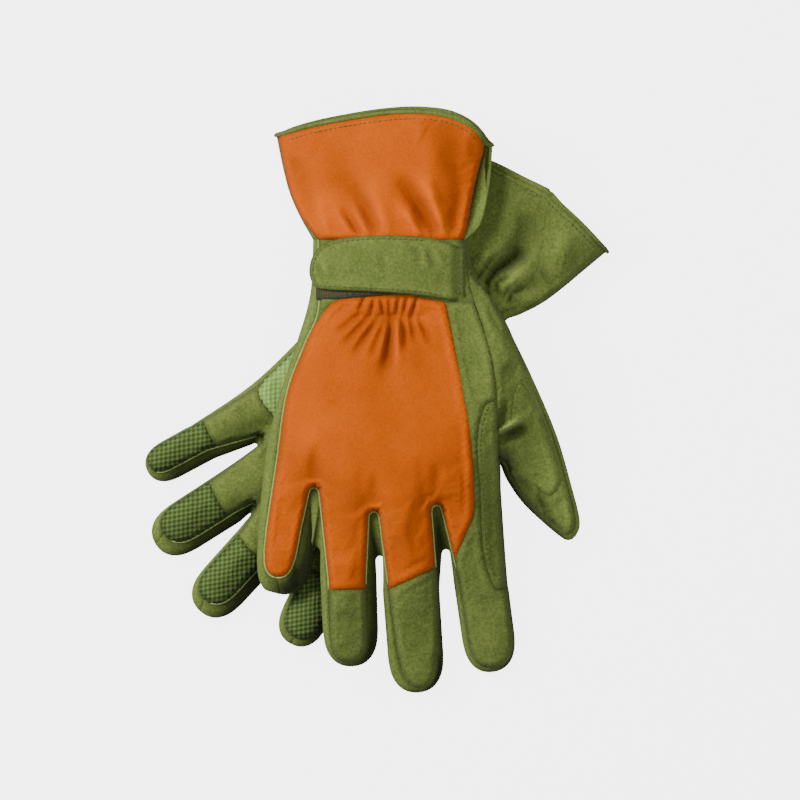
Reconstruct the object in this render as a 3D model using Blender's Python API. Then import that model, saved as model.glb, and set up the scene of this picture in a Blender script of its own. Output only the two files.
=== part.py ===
"""A pair of gauntlet-cuff gardening gloves, the right one lying palm down across the left one, which lies palm up.

Each glove is drawn in its own hand frame, in millimetres: u points to the thumb side, v to the fingertips, and w up
from the glove's underside. A glove is two sewn sheets, an upper and a lower one, joined by side strips between them.
Every panel is a thin closed solid. World units are metres, +Z up, with the left glove's back resting on Z = 0.
"""
import math

import bpy
import numpy as np
from mathutils.geometry import delaunay_2d_cdt

MM = 0.001

# Driving dimensions, in millimetres
PANEL = 1.2               # thickness of the leather and fabric panels
SEAM_GAP = 0.4            # clearance between two panels that are sewn edge to edge
STRIP_CLEAR = 0.5         # clearance between a side strip and the sheets above and below it
EDGE_PIECE = 8.0          # longest straight piece of a panel's edge
STRAP = 1.4               # thickness of the wrist strap
PATCH = 0.7               # thickness of the hook and loop patches
LAYER_GAP = 0.4           # clearance between the layers of the strap closure
LAYER_START = {"right": 0.5, "left": 0.2}    # from the wrist's outer face to the first of those gaps
STRAP_MESH = 5.0          # spacing of the points inside the strap and its patches
ELASTIC = 0.8             # thickness of the elastic inside the wrist
ELASTIC_GAP = 0.8         # from the panel's inner face to the elastic
FINGER_TAPER = 0.06       # share of its width that a finger loses from root to tip
TIP_ROUND = 1.25          # length of the rounded fingertip, in half widths
TIP_POWER = 2.3           # exponent of the fingertip's superellipse
STACK_HEIGHT = 27.5       # height of the right glove's underside where it lies on the left palm
STACK_FINGERS = 19.0      # the same where it lies on the left fingers
STACK_FLAT = 36.0         # half width of the flat top of that rise, across the left glove
STACK_REACH = 112.0       # where the right glove has sunk to the table, across the left glove
TABLE_CLEAR = 1.5         # height of the right glove's edges over the table
STRAP_LIFT = 6.8          # how far the left wrist is raised to make room for the strap under it
STRAP_LIFT_FADE = (17.0, 52.0)               # from where that rise fades to nothing, by distance from the wrist

# Where each glove's wrist centre lies, and which way its fingers point, in degrees from +X
RIGHT_ORIGIN = (5.739, 59.557)
RIGHT_POINTS = 270.0
LEFT_ORIGIN = (36.739, 53.857)
LEFT_POINTS = 229.5

# The table of fingers: centre line from root to tip (u, v), and half width. The upper sheet is narrower than the
# lower one, and a little shorter, so the side strips show.
RIGHT_LOWER = {
    "pinky": ((-46.5, 97.0), (-49.5, 150.5), 12.8),
    "ring": ((-20.7, 101.0), (-17.5, 182.0), 12.9),
    "middle": ((6.4, 101.0), (13.0, 194.0), 13.0),
    "index": ((35.9, 101.0), (47.4, 184.5), 12.3),
}
RIGHT_UPPER = {
    "pinky": ((-46.0, 97.0), (-47.5, 142.0), 8.4),
    "ring": ((-20.7, 101.0), (-17.8, 180.5), 9.6),
    "middle": ((7.4, 101.0), (13.8, 192.5), 11.3),
    "index": ((37.0, 101.0), (48.0, 183.0), 10.9),
}
LEFT_LOWER = {
    "pinky": ((-28.1, 97.0), (-51.6, 158.4), 9.2),
    "ring": ((-3.2, 103.0), (-27.1, 181.4), 12.0),
    "middle": ((11.0, 105.0), (8.2, 191.5), 12.2),
    "index": ((32.0, 103.0), (49.8, 175.8), 11.2),
}
LEFT_UPPER = {
    "pinky": ((-30.1, 96.5), (-53.2, 156.2), 6.6),
    "ring": ((-5.2, 102.4), (-27.5, 175.5), 9.6),
    "middle": ((9.0, 105.0), (6.3, 186.3), 9.2),
    "index": ((32.0, 103.0), (49.2, 172.8), 9.6),
}
FINGERS = ("pinky", "ring", "middle", "index")
SIDE_FROM = {"right": 0.60, "left": 0.66}    # share of a finger's straight part where its own sides start
# Bottoms of the three slots between the fingers (u, v), and their radius
BACK_SLOTS = ((-35.0, 100.0, 2.4), (-7.4, 111.0, 2.4), (21.4, 108.0, 2.4))
PALM_SLOTS = ((-34.0, 127.0, 2.4), (-4.6, 131.0, 2.4), (25.8, 128.0, 2.4))
LEFT_BACK_SLOTS = ((-22.0, 116.0, 1.6), (-3.3, 142.0, 0.9), (24.5, 124.0, 2.4))
LEFT_PALM_SLOTS = ((-22.5, 112.0, 2.0), (-4.6, 138.0, 1.8), (21.5, 120.0, 2.4))

# Side curves of the hand, from the wrist to where the outer fingers start
RIGHT_PINKY_SIDE_LOWER = ((-35.0, -14.0), (-35.5, 4.0), (-37.5, 17.0), (-43.0, 35.0), (-51.0, 60.0), (-56.5, 84.0))
RIGHT_PINKY_SIDE_UPPER = ((-33.0, -14.0), (-32.5, 4.0), (-33.5, 18.0), (-40.0, 34.0), (-47.5, 58.0), (-52.5, 84.0))
LEFT_PINKY_SIDE_LOWER = ((-34.0, -14.0), (-34.0, 4.0), (-35.0, 17.0), (-36.0, 35.0), (-37.5, 62.0), (-40.8, 96.0))
LEFT_PINKY_SIDE_UPPER = ((-32.0, -14.0), (-32.0, 4.0), (-33.0, 17.0), (-34.5, 35.0), (-36.0, 62.0), (-39.2, 96.0))
WEB = (49.2, 76.0)        # where the thumb leaves the index side of the hand
HAND_EDGE = ((50.3, 88.0), (50.8, 104.0))
THUMB_SEAM = ((34.0, -10.0), (37.0, 8.0), (43.5, 28.5), (48.6, 50.6))
# The left thumb is bent and drawn in under the right glove, so it is shorter in plan.
THUMB_OUTER = {
    "right": ((34.0, -14.0), (38.5, 2.0), (47.5, 17.0), (55.5, 30.0), (65.7, 51.0), (76.4, 76.4), (83.3, 100.0)),
    "left": ((34.0, -14.0), (38.5, 2.0), (46.5, 15.0), (53.5, 27.0), (61.5, 44.0), (69.0, 62.0), (74.0, 78.0)),
}
THUMB_TIP = {
    "right": ((86.9, 115.0), (85.5, 121.5), (82.0, 124.0), (77.5, 121.5)),
    "left": ((76.8, 90.0), (76.0, 95.5), (73.0, 98.5), (69.0, 96.8)),
}
THUMB_INNER = {
    "right": ((68.8, 112.6), (61.5, 104.5), (55.5, 94.0), (51.5, 84.0)),
    "left": ((63.5, 91.5), (59.0, 87.5), (55.0, 83.5), (52.0, 79.5)),
}
THUMB_PATCH = {
    "right": ((60.0, 52.0), (68.0, 64.0), (74.5, 82.0), (78.0, 94.5), (77.2, 100.5), (72.8, 103.8), (65.5, 97.0),
              (59.0, 84.0), (56.0, 68.0)),
    "left": ((56.5, 50.0), (61.5, 58.0), (66.5, 70.0), (69.0, 81.0), (67.0, 87.0), (62.5, 84.0), (57.5, 74.0),
             (54.0, 62.0)),
}
THUMB_LEAN = {"right": 0.27, "left": 0.21}   # how fast the thumb's centre line moves out, u over v
THUMB_INSET = 2.2         # how far the thumb's upper sheet stops inside the lower one

# Cuff: half widths at the wrist and at the hem, and how far the hem reaches behind the wrist
CUFF_WRIST_V = -14.0
CUFF_HEM_V = {"right": (-61.5, -57.0), "left": (-44.0, -54.0)}      # at its pinky end and its thumb end
HEM_BOW = {"right": (9.0, 12.0), "left": (3.0, 5.0)}
HEM_PINKY = {"right": -51.0, "left": -44.0}
HEM_THUMB = {"right": 43.5, "left": 42.0}
PALM_CUFF_EXTRA = {"right": 3.0, "left": 0.5}
BINDING = (1.6, 3.0)      # thickness and width of the tape that binds the hem

# Seams inside the sheets
BACK_SEAM_V = 14.5        # where the stretch back panel starts, under the strap
BACK_THUMB_EDGE = ((25.5, 14.5), (28.5, 29.0), (33.1, 53.4), (37.0, 76.4), (38.6, 99.4), (38.0, 113.6))
RING_CUT = (0.565, 0.575)   # where the orange ends on a finger, as a share of its length at its two sides
MIDDLE_CUT = (0.49, 0.39)
INDEX_POINT = 0.37
INDEX_PATCH_END = 0.56
GRIP_CUT = {
    "right": {"pinky": 0.64, "ring": 0.48, "middle": 0.55, "index": 0.58},
    "left": {"pinky": 0.50, "ring": 0.61, "middle": 0.61, "index": 0.55},
}
INDEX_PATCH = ((48.8, 60.0), (43.6, 63.0), (40.2, 78.0), (41.4, 100.0), (42.8, 128.0), (48.0, 146.0))
PALM_GRIP = ((-33.0, 58.0), (-22.0, 61.0), (-13.0, 73.0), (-11.5, 89.0), (-17.5, 99.5), (-24.0, 101.5),
             (-33.5, 97.5), (-36.0, 90.0), (-35.0, 73.0))
STRAP_TOP = ((17.7, -15.0), (-3.5, -16.0), (-21.6, -14.6), (-30.5, -10.8))
STRAP_TAB = ((-34.0, -6.0), (-35.6, 0.0), (-34.6, 4.8), (-31.0, 8.4))
STRAP_BOTTOM = ((-10.5, 9.8), (10.6, 11.2))
STRAP_HINGE_U = 27.9      # the free strap bends here, at its stitches
STRAP_HINGE_GAP = 0.9     # from that line to the free strap and to the sewn end
STRAP_HINGE_RISE = 0.4    # from the strap's outer face to the axis it folds back about
STRAP_ENDS_V = ((-12.0, 13.7), (-9.5, 14.6))
STRAP_SEWN_U = 34.5
HOOK_PATCH = ((-33.0, -5.0), (-30.0, -8.0), (-10.0, -11.0), (-8.0, 6.0), (-29.0, 5.5))
LOOP_PATCH = ((-34.0, -7.0), (0.0, -10.0), (4.0, 13.2), (-15.0, 13.4), (-33.5, 13.4))
ELASTIC_BACK = (-24.0, 24.0, 18.0, 25.0)     # u from, u to, v from, v to
ELASTIC_PALM = (-24.0, 24.0, -9.0, -2.0)

# Heights of the upper sheet: over the outline, at the crown, and how far in the crown starts, by v
EDGE_V = (-75.0, -48.0, -30.0, -18.0, 22.0, 60.0, 100.0, 190.0)
EDGE_W = (3.2, 3.2, 5.0, 9.4, 10.0, 12.0, 11.0, 8.5)
CROWN_V = (-75.0, -45.0, -19.0, 16.0, 60.0, 95.0, 118.0, 195.0)
CROWN_W = (26.0, 18.0, 9.0, 9.0, 12.0, 11.0, 6.5, 5.5)
REACH_V = (-75.0, -20.0, 20.0, 60.0, 95.0, 116.0, 195.0)
REACH_U = (44.0, 32.0, 32.0, 36.0, 26.0, 11.0, 10.0)
WRIST_EDGE = 9.7          # the same for the wrist under the strap, as a parabola across it
WRIST_CROWN = 9.0
WRIST_MIDDLE = 1.0
WRIST_HALF_PINKY = 34.0
WRIST_HALF_THUMB = 44.0
THUMB_HEIGHTS = (8.0, 8.0, 13.0)             # edge, crown and reach on the thumb
THUMB_FADE = (44.0, 60.0)                    # where the palm's heights turn into the thumb's, by u
THUMB_END = (100.0, 126.0)                   # where the thumb's heights end, by v
THUMB_INNER_U = 58.0                         # the index finger lies inside this u, the thumb's tip outside

COLOURS = {
    "orange_fabric": ((0.78, 0.20, 0.02), 0.90),
    "green_leather": ((0.20, 0.26, 0.06), 0.80),
    "grip_fabric": ((0.10, 0.22, 0.07), 0.85),
    "dark_loop": ((0.06, 0.07, 0.04), 0.95),
    "elastic": ((0.60, 0.58, 0.52), 0.90),
}


def spline(points, steps):
    """Catmull-Rom curve through points, with steps pieces between each pair."""
    p = [np.array(q, float) for q in points]
    p = [2 * p[0] - p[1]] + p + [2 * p[-1] - p[-2]]
    made = []
    for i in range(1, len(p) - 2):
        for s in range(steps):
            t = s / steps
            a, b, c, d = p[i - 1], p[i], p[i + 1], p[i + 2]
            made.append(0.5 * (2 * b + (c - a) * t + (2 * a - 5 * b + 4 * c - d) * t * t
                               + (3 * b - 3 * c + d - a) * t ** 3))
    return made + [p[-2]]


def smooth(x, low, high):
    t = np.clip((x - low) / (high - low), 0.0, 1.0)
    return t * t * (3 - 2 * t)


def ring_normals(loop):
    """Outward unit normal at each point of a closed loop that runs anticlockwise."""
    ahead = np.roll(loop, -1, axis=0) - loop
    ahead /= np.linalg.norm(ahead, axis=1)[:, None] + 1e-12
    back = np.roll(ahead, 1, axis=0)
    n_a = np.stack([ahead[:, 1], -ahead[:, 0]], axis=1)
    n_b = np.stack([back[:, 1], -back[:, 0]], axis=1)
    total = n_a + n_b
    length = np.linalg.norm(total, axis=1)[:, None] + 1e-12
    return total / length * np.minimum(2.0 / length, 1.6)


def area(loop):
    x, y = loop[:, 0], loop[:, 1]
    return 0.5 * np.sum(x * np.roll(y, -1) - np.roll(x, -1) * y)


def inset(loop, distance):
    loop = np.array(loop, float)
    if area(loop) < 0:
        loop = loop[::-1]
    return loop - ring_normals(loop) * distance


def divided(loop, longest):
    """The loop with its sides cut into equal pieces no longer than longest."""
    made = []
    for a, b in zip(loop, np.roll(loop, -1, axis=0)):
        pieces = max(1, math.ceil(np.linalg.norm(b - a) / longest))
        made += [a + (b - a) * i / pieces for i in range(pieces)]
    return np.array(made)


def inside(points, loop):
    """Which points lie inside a closed loop, by the even-odd rule."""
    x, y = points[:, :1], points[:, 1:]
    a, b = loop, np.roll(loop, -1, axis=0)
    crosses = (a[:, 1] > y) != (b[:, 1] > y)
    at = a[:, 0] + (y - a[:, 1]) * (b[:, 0] - a[:, 0]) / (b[:, 1] - a[:, 1] + 1e-12)
    return (crosses & (x < at)).sum(axis=1) % 2 == 1


def distance_to(points, line):
    """Distance from each point to an open line."""
    a, b = line[:-1], line[1:]
    d = b - a
    t = ((points[:, None, :] - a) * d).sum(-1) / ((d * d).sum(-1) + 1e-12)
    near = a + np.clip(t, 0, 1)[..., None] * d
    return np.linalg.norm(points[:, None, :] - near, axis=-1).min(axis=1)


class Glove:
    """One glove: its place, its outlines and the height of its sheets."""

    def __init__(self, side):
        self.side = side
        self.palm_up = side == "left"
        if side == "right":
            self.origin = np.array(RIGHT_ORIGIN)
            turn = math.radians(RIGHT_POINTS)
            self.fingers = {"lower": RIGHT_LOWER, "upper": RIGHT_UPPER}
            self.slots = {"lower": PALM_SLOTS, "upper": BACK_SLOTS}
            self.pinky_side = {"lower": RIGHT_PINKY_SIDE_LOWER, "upper": RIGHT_PINKY_SIDE_UPPER}
        else:
            self.origin = np.array(LEFT_ORIGIN)
            turn = math.radians(LEFT_POINTS)
            self.fingers = {"lower": LEFT_LOWER, "upper": LEFT_UPPER}
            self.slots = {"lower": LEFT_BACK_SLOTS, "upper": LEFT_PALM_SLOTS}
            self.pinky_side = {"lower": LEFT_PINKY_SIDE_LOWER, "upper": LEFT_PINKY_SIDE_UPPER}
        self.axis_v = np.array((math.cos(turn), math.sin(turn)))
        self.axis_u = np.array((-self.axis_v[1], self.axis_v[0]))
        self.back_level = "lower" if self.palm_up else "upper"
        self.palm_level = "upper" if self.palm_up else "lower"
        self.rims = {level: self.rim(level) for level in ("upper", "lower")}

    # Outlines
    def finger_side(self, level, name, hand, samples=3):
        """Points up one side of a finger to its tip; hand is +1 on the thumb side."""
        root, tip, half = self.fingers[level][name]
        root, tip = np.array(root), np.array(tip)
        length = np.linalg.norm(tip - root)
        along = (tip - root) / length
        across = np.array((along[1], -along[0])) * hand
        round_from = length - TIP_ROUND * half
        made = []
        for share in (SIDE_FROM[self.side], 1.0):
            at = round_from * share
            made.append(root + along * at + across * half * (1 - FINGER_TAPER * at / length))
        for i in range(1, samples + 1):
            x = math.sin(math.pi / 2 * i / samples)
            at = round_from + TIP_ROUND * half * x
            width = half * (1 - FINGER_TAPER) * max(0.0, 1 - x ** TIP_POWER) ** (1 / TIP_POWER)
            made.append(root + along * at + across * width)
        return made

    def finger_cut(self, level, name, shares):
        """The two ends of a seam across a finger, on its pinky and thumb sides."""
        root, tip, half = self.fingers[level][name]
        root, tip = np.array(root), np.array(tip)
        length = np.linalg.norm(tip - root)
        along = (tip - root) / length
        across = np.array((along[1], -along[0]))
        ends = []
        for hand, share in zip((-1, 1), shares):
            width = half * (1 - FINGER_TAPER * share)
            ends.append(root + along * share * length + across * hand * width)
        return ends

    def side_past(self, level, name, hand, share):
        """The points of a finger's side that lie past a share of its length."""
        root, tip, _ = self.fingers[level][name]
        root, tip = np.array(root), np.array(tip)
        length = np.linalg.norm(tip - root)
        return [p for p in self.finger_side(level, name, hand)
                if (p - root) @ (tip - root) / length > share * length + 1.0]

    def slot(self, level, k):
        """From the tip of finger k, round the slot, to the tip of finger k + 1."""
        down = self.finger_side(level, FINGERS[k], 1)[::-1]
        up = self.finger_side(level, FINGERS[k + 1], -1)
        u, v, r = self.slots[level][k]
        c = np.array((u, v))
        return down + [c + (-r, r), c, c + (r, r)] + up

    def thumb_point(self, p, level):
        """A point of the thumb's outline, drawn in for the upper sheet."""
        p = np.array(p, float)
        if level == "lower":
            return p
        middle = np.array((47.0 + THUMB_LEAN[self.side] * p[1], p[1] - 4.0))
        return p + (middle - p) / np.linalg.norm(middle - p) * THUMB_INSET * smooth(p[1], -10.0, 30.0)

    def pinky_edge(self, level):
        return spline(self.pinky_side[level], 1) + self.finger_side(level, "pinky", -1)

    def index_edge(self, level):
        return self.finger_side(level, "index", 1)[::-1] + [np.array(p) for p in HAND_EDGE[::-1]] + [np.array(WEB)]

    def thumb_edge(self, level):
        """From the web, round the thumb, to the wrist."""
        run = THUMB_INNER[self.side][::-1] + THUMB_TIP[self.side][::-1] + THUMB_OUTER[self.side][::-1]
        return [self.thumb_point(p, level) for p in run]

    def cuff_sides(self, level):
        """The cuff's edge on the pinky side, from hem to wrist, and on the thumb side, from wrist to hem."""
        extra = PALM_CUFF_EXTRA[self.side] if level == self.palm_level else 0.0
        hem = CUFF_HEM_V[self.side]
        first = self.pinky_side[level][0]
        pinky = [np.array((HEM_PINKY[self.side], hem[0])), np.array((-42.0, -36.0))]
        thumb = [np.array((38.0 + extra, -36.0)), np.array((HEM_THUMB[self.side] + extra, hem[1]))]
        return pinky, np.array(first), thumb

    def rim(self, level):
        """The sheet's free edge from hem to hem, which the height of the sheet is measured from."""
        pinky, _, thumb = self.cuff_sides(level)
        run = pinky + self.pinky_edge(level)
        for k in range(3):
            run += self.slot(level, k)[1:]
        run += self.index_edge(level)[1:] + self.thumb_edge(level) + thumb
        return np.array(run)

    # Heights
    def under(self, p):
        """Height of the lower sheet's outer face. The left wrist is raised over its own strap."""
        if not self.palm_up:
            return np.zeros(len(p))
        return STRAP_LIFT * (1 - smooth(np.abs(p[:, 1]), *STRAP_LIFT_FADE))

    def profile(self, p):
        """Height of the upper sheet at its edge, how much it rises to its crown, and how far in the crown starts."""
        u, v = p[:, 0], p[:, 1]
        past_web = smooth(v, *THUMB_END) * (u < THUMB_INNER_U)
        thumb = smooth(u, *THUMB_FADE) * (v < THUMB_END[1]) * (1 - past_web)
        tables = ((EDGE_V, EDGE_W), (CROWN_V, CROWN_W), (REACH_V, REACH_U))
        return [np.interp(v, *table) * (1 - thumb) + flat * thumb for table, flat in zip(tables, THUMB_HEIGHTS)]

    def edge(self, p):
        """Height of the upper sheet's outer face right at its edge."""
        return self.profile(p)[0] + self.under(p)

    def over(self, p):
        """Height of the upper sheet's outer face."""
        edge, crown, reach = self.profile(p)
        x = np.clip(distance_to(p, self.rims["upper"]) / reach, 0, 1)
        return edge + crown * (1 - (1 - x) ** 2) + self.under(p)

    def world(self, p, w):
        """World millimetres of hand-frame points p at heights w."""
        ground = self.origin + p[:, :1] * self.axis_u + p[:, 1:2] * self.axis_v
        base = np.zeros(len(p)) if self.palm_up else stack_rise(ground)
        return np.column_stack([ground, base + w])


def stack_rise(ground):
    """Height of the right glove's underside: it lies across the left glove and sinks to the table on both sides."""
    r = ground - LEFT.origin
    across = np.abs(r @ LEFT.axis_u)
    along = r @ LEFT.axis_v
    top = STACK_HEIGHT + (STACK_FINGERS - STACK_HEIGHT) * smooth(along, 96.0, 128.0)
    return TABLE_CLEAR + (top - TABLE_CLEAR) * (1 - smooth(across, STACK_FLAT, STACK_REACH))


# Building solids
def signed_volume(points, faces):
    total = 0.0
    for f in faces:
        for i in range(1, len(f) - 1):
            total += np.dot(points[f[0]], np.cross(points[f[i]], points[f[i + 1]]))
    return total


def add_object(name, points, faces, slot):
    if signed_volume(points - points[0], faces) < 0:
        faces = [tuple(f[::-1]) for f in faces]
    mesh = bpy.data.meshes.new(name)
    mesh.from_pydata([tuple(p) for p in np.asarray(points) * MM], [], faces)
    mesh.materials.append(MATERIALS[slot])
    mesh.update()
    made = bpy.data.objects.new(name, mesh)
    bpy.context.scene.collection.objects.link(made)
    return made


def triangulate(outer, holes, spacing):
    """Points and triangles that fill outer, less its holes, with inner points on a staggered grid."""
    loops = [outer] + list(holes)
    low, high = outer.min(axis=0), outer.max(axis=0)
    grid = []
    for row, v in enumerate(np.arange(low[1] + spacing / 2, high[1], spacing * 0.87)):
        for u in np.arange(low[0] + spacing * (0.25 + 0.5 * (row % 2)), high[0], spacing):
            grid.append((u, v))
    grid = np.array(grid if grid else [outer.mean(axis=0)])
    keep = inside(grid, outer)
    for hole in holes:
        keep &= ~inside(grid, hole)
    for loop in loops:
        keep &= distance_to(grid, np.vstack([loop, loop[:1]])) > 0.42 * spacing
    points, edges = [], []
    for loop in loops:
        start = len(points)
        points += [tuple(q) for q in loop]
        edges += [(start + i, start + (i + 1) % len(loop)) for i in range(len(loop))]
    points += [tuple(q) for q in grid[keep]]
    made, _, faces, *_ = delaunay_2d_cdt([tuple(map(float, q)) for q in points], edges, [], 0, 1e-5)
    made = np.array([tuple(q) for q in made])
    middle = made[np.array(faces)].mean(axis=1)
    wanted = inside(middle, outer)
    for hole in holes:
        wanted &= ~inside(middle, hole)
    faces = [f for f, good in zip(faces, wanted) if good]
    return made, faces


def slab(name, glove, outer, slot, top, bottom, spacing=11.0, holes=(), gap=SEAM_GAP / 2):
    """A sheet over the region outer, from height bottom(p) to height top(p)."""
    outer = divided(inset(outer, gap), min(spacing, EDGE_PIECE))
    holes = [divided(inset(h, -gap), min(spacing, EDGE_PIECE)) for h in holes]
    flat, faces = triangulate(outer, holes, spacing)
    n = len(flat)
    points = np.vstack([glove.world(flat, top(flat)), glove.world(flat, bottom(flat))])
    upper = [tuple(f) if area(flat[list(f)]) > 0 else tuple(f[::-1]) for f in faces]
    lower = [tuple(n + i for i in f[::-1]) for f in upper]
    edges = {(a, b) for f in upper for a, b in zip(f, f[1:] + f[:1])}
    walls = [(b, a, n + a, n + b) for a, b in sorted(edges) if (b, a) not in edges]
    return add_object(name, points, upper + lower + walls, slot)


def sheet(name, glove, level, outer, slot, spacing=11.0, holes=()):
    """A panel of the upper or lower sheet."""
    if level == "upper":
        return slab(name, glove, outer, slot, glove.over, lambda p: glove.over(p) - PANEL, spacing, holes)
    return slab(name, glove, outer, slot, lambda p: glove.under(p) + PANEL, glove.under, spacing, holes)


def strip(name, glove, edge, slot):
    """A side strip that runs along one stretch of the outline, between the two sheets."""
    high, low = np.array(edge("upper")), np.array(edge("lower"))
    high, low = trim(high, 0.6), trim(low, 0.6)
    pieces = [max(1, math.ceil(max(np.linalg.norm(high[i + 1] - high[i]), np.linalg.norm(low[i + 1] - low[i]))
                               / EDGE_PIECE)) for i in range(len(high) - 1)]
    high, low = split_by(high, pieces), split_by(low, pieces)
    w_high = glove.edge(high) - PANEL - STRIP_CLEAR
    w_low = glove.under(low) + PANEL + STRIP_CLEAR
    high_in, low_in = high - line_normals(high) * PANEL, low - line_normals(low) * PANEL
    n = len(high)
    points = np.vstack([glove.world(high, w_high), glove.world(low, w_low),
                        glove.world(low_in, w_low), glove.world(high_in, w_high)])
    faces = []
    for i in range(n - 1):
        for k in range(4):
            a, b = k * n + i, (k + 1) % 4 * n + i
            faces.append((a, a + 1, b + 1, b))
    faces.append((0, n, 2 * n, 3 * n))
    faces.append((4 * n - 1, 3 * n - 1, 2 * n - 1, n - 1))
    return add_object(name, points, faces, slot)


def split_by(line, pieces):
    """The line with its stretches cut into the given numbers of equal pieces."""
    made = []
    for a, b, count in zip(line, line[1:], pieces):
        made += [a + (b - a) * i / count for i in range(count)]
    return np.array(made + [line[-1]])


def trim(line, length):
    """The line, shortened by length at both ends."""
    line = line.copy()
    for end, nxt in ((0, 1), (-1, -2)):
        step = line[nxt] - line[end]
        line[end] += step / np.linalg.norm(step) * length
    return line


def line_normals(line):
    """Unit normals that point out of the glove, for a line that runs round it with the glove on its right."""
    step = np.gradient(line, axis=0)
    step /= np.linalg.norm(step, axis=1)[:, None] + 1e-12
    return np.stack([-step[:, 1], step[:, 0]], axis=1)


def hem_line(glove, level, count=9):
    """The hem from the pinky side to the thumb side, bowed away from the hand."""
    pinky, _, thumb = glove.cuff_sides(level)
    bow = HEM_BOW[glove.side][1 if level == glove.palm_level else 0]
    a, b = pinky[0], thumb[-1]
    t = np.linspace(0, 1, count)
    line = a + (b - a) * t[:, None]
    line[:, 1] -= bow * (1 - (2 * t - 1) ** 2)
    return line


def binding(name, glove, slot):
    """The tape round the cuff's mouth, one closed ring."""
    clear = 0.5 + BINDING[1] / 2
    high, low = hem_line(glove, "upper", 11), hem_line(glove, "lower", 11)
    w_high = glove.over(high) - PANEL / 2
    w_low = glove.under(low) + BINDING[0] / 2
    w_high[[0, -1]] += 0.3
    ring = np.vstack([high, low[::-1]]) + np.array((0.0, -clear))
    height = np.concatenate([w_high, w_low[::-1]])
    half_t, half_v = BINDING[0] / 2, BINDING[1] / 2
    corners = ((half_v, half_t), (half_v, -half_t), (-half_v, -half_t), (-half_v, half_t))
    rise = np.gradient(height)
    n = len(ring)
    inward = np.where(np.arange(n) < len(high), 1.0, -1.0)
    points = []
    for dv, dt in corners:
        points.append(glove.world(ring + np.array((0.0, dv)), height + dt * inward))
    points = np.vstack(points)
    faces = []
    for i in range(n):
        j = (i + 1) % n
        for k in range(4):
            m = (k + 1) % 4
            faces.append((k * n + i, k * n + j, m * n + j, m * n + i))
    return add_object(name, points, faces, slot)


def back_panel(glove):
    """The stretch back of the hand, with the backs of the pinky, ring and middle fingers."""
    level = glove.back_level
    ring, middle = (glove.finger_cut(level, "ring", RING_CUT), glove.finger_cut(level, "middle", MIDDLE_CUT))
    point = glove.finger_cut(level, "index", (INDEX_POINT, INDEX_POINT))[0]
    run = [p for p in glove.pinky_edge(level) if p[1] > BACK_SEAM_V + 1.0]
    run = [np.array((run[0][0] + 0.8, BACK_SEAM_V))] + run
    slots = [glove.slot(level, k) for k in range(3)]
    run += slots[0][1:9] + [ring[0], ring[1]] + slots[1][5:8] + [middle[0], middle[1]]
    run += slots[2][5:8] + [point] + [np.array(p) for p in BACK_THUMB_EDGE[::-1]]
    return clean(run)


def clean(run):
    """The run without points closer than 0.6 mm to the last one."""
    made = [run[0]]
    for p in run[1:]:
        if np.linalg.norm(p - made[-1]) > 0.6:
            made.append(p)
    return np.array(made)


def finger_end(glove, level, name, shares):
    """The region of a finger beyond the seam across it."""
    cut = glove.finger_cut(level, name, shares)
    left = glove.side_past(level, name, -1, shares[0])
    right = glove.side_past(level, name, 1, shares[1])
    return clean([cut[0]] + left + right[::-1][1:] + [cut[1]])


def index_back(glove):
    """The leather back on the index side: beside the stretch panel and up the index finger."""
    level = glove.back_level
    point = glove.finger_cut(level, "index", (INDEX_POINT, INDEX_POINT))[0]
    left = glove.side_past(level, "index", -1, INDEX_POINT)
    right = glove.side_past(level, "index", 1, INDEX_PATCH_END)[::-1]
    run = [np.array(p) for p in BACK_THUMB_EDGE] + [point] + left + right[1:]
    end = glove.finger_cut(level, "index", (INDEX_PATCH_END,) * 2)[1]
    run += [end] + [np.array(p) for p in INDEX_PATCH[::-1]]
    run += [np.array(p) for p in THUMB_SEAM[::-1]]
    run = [p for p in run if p[1] >= BACK_SEAM_V or p[0] < 26.0]
    run.append(np.array((38.6, BACK_SEAM_V)))
    return clean(run)


def index_patch(glove):
    """The reinforcement along the outer side of the index finger and hand."""
    level = glove.back_level
    end = glove.finger_cut(level, "index", (INDEX_PATCH_END,) * 2)[1]
    edge = [p for p in glove.index_edge(level) if p[1] < end[1] - 3.0]
    return clean([np.array(p) for p in INDEX_PATCH] + [end] + edge)


def palm_panel(glove):
    """The leather palm, with the roots of the finger fronts."""
    level = glove.palm_level
    cuts = {f: glove.finger_cut(level, f, (GRIP_CUT[glove.side][f],) * 2) for f in FINGERS}
    run = [p for p in spline(glove.pinky_side[level], 1) if p[1] > CUFF_WRIST_V + 1.0]
    run = [np.array(glove.pinky_side[level][0])] + run + list(cuts["pinky"])
    for k in range(3):
        u, v, r = glove.slots[level][k]
        c = np.array((u, v))
        run += [c + (-r, r), c, c + (r, r)] + list(cuts[FINGERS[k + 1]])
    run += [np.array(p) for p in HAND_EDGE[::-1]] + [np.array(WEB)]
    run += [np.array(p) for p in THUMB_SEAM[::-1]] + [np.array((34.0, CUFF_WRIST_V))]
    return clean(run)


def thumb_region(glove, level):
    """The thumb, from the seam at the side of the hand to its tip."""
    return clean([np.array((34.0, CUFF_WRIST_V))] + [np.array(p) for p in THUMB_SEAM] + [np.array(WEB)]
                 + glove.thumb_edge(level)[:-1])


def wrist_band(glove):
    """The leather between the cuff and the stretch panel, under the strap, on the back of the wrist."""
    level = glove.back_level
    side = [p for p in spline(glove.pinky_side[level], 1) if p[1] < BACK_SEAM_V]
    corner = glove.pinky_side[level][2]
    run = side + [np.array((corner[0] + 0.8, BACK_SEAM_V)), np.array((38.6, BACK_SEAM_V))]
    return clean(run + [np.array(p) for p in THUMB_SEAM[1::-1]] + [np.array((34.0, CUFF_WRIST_V))])


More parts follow.
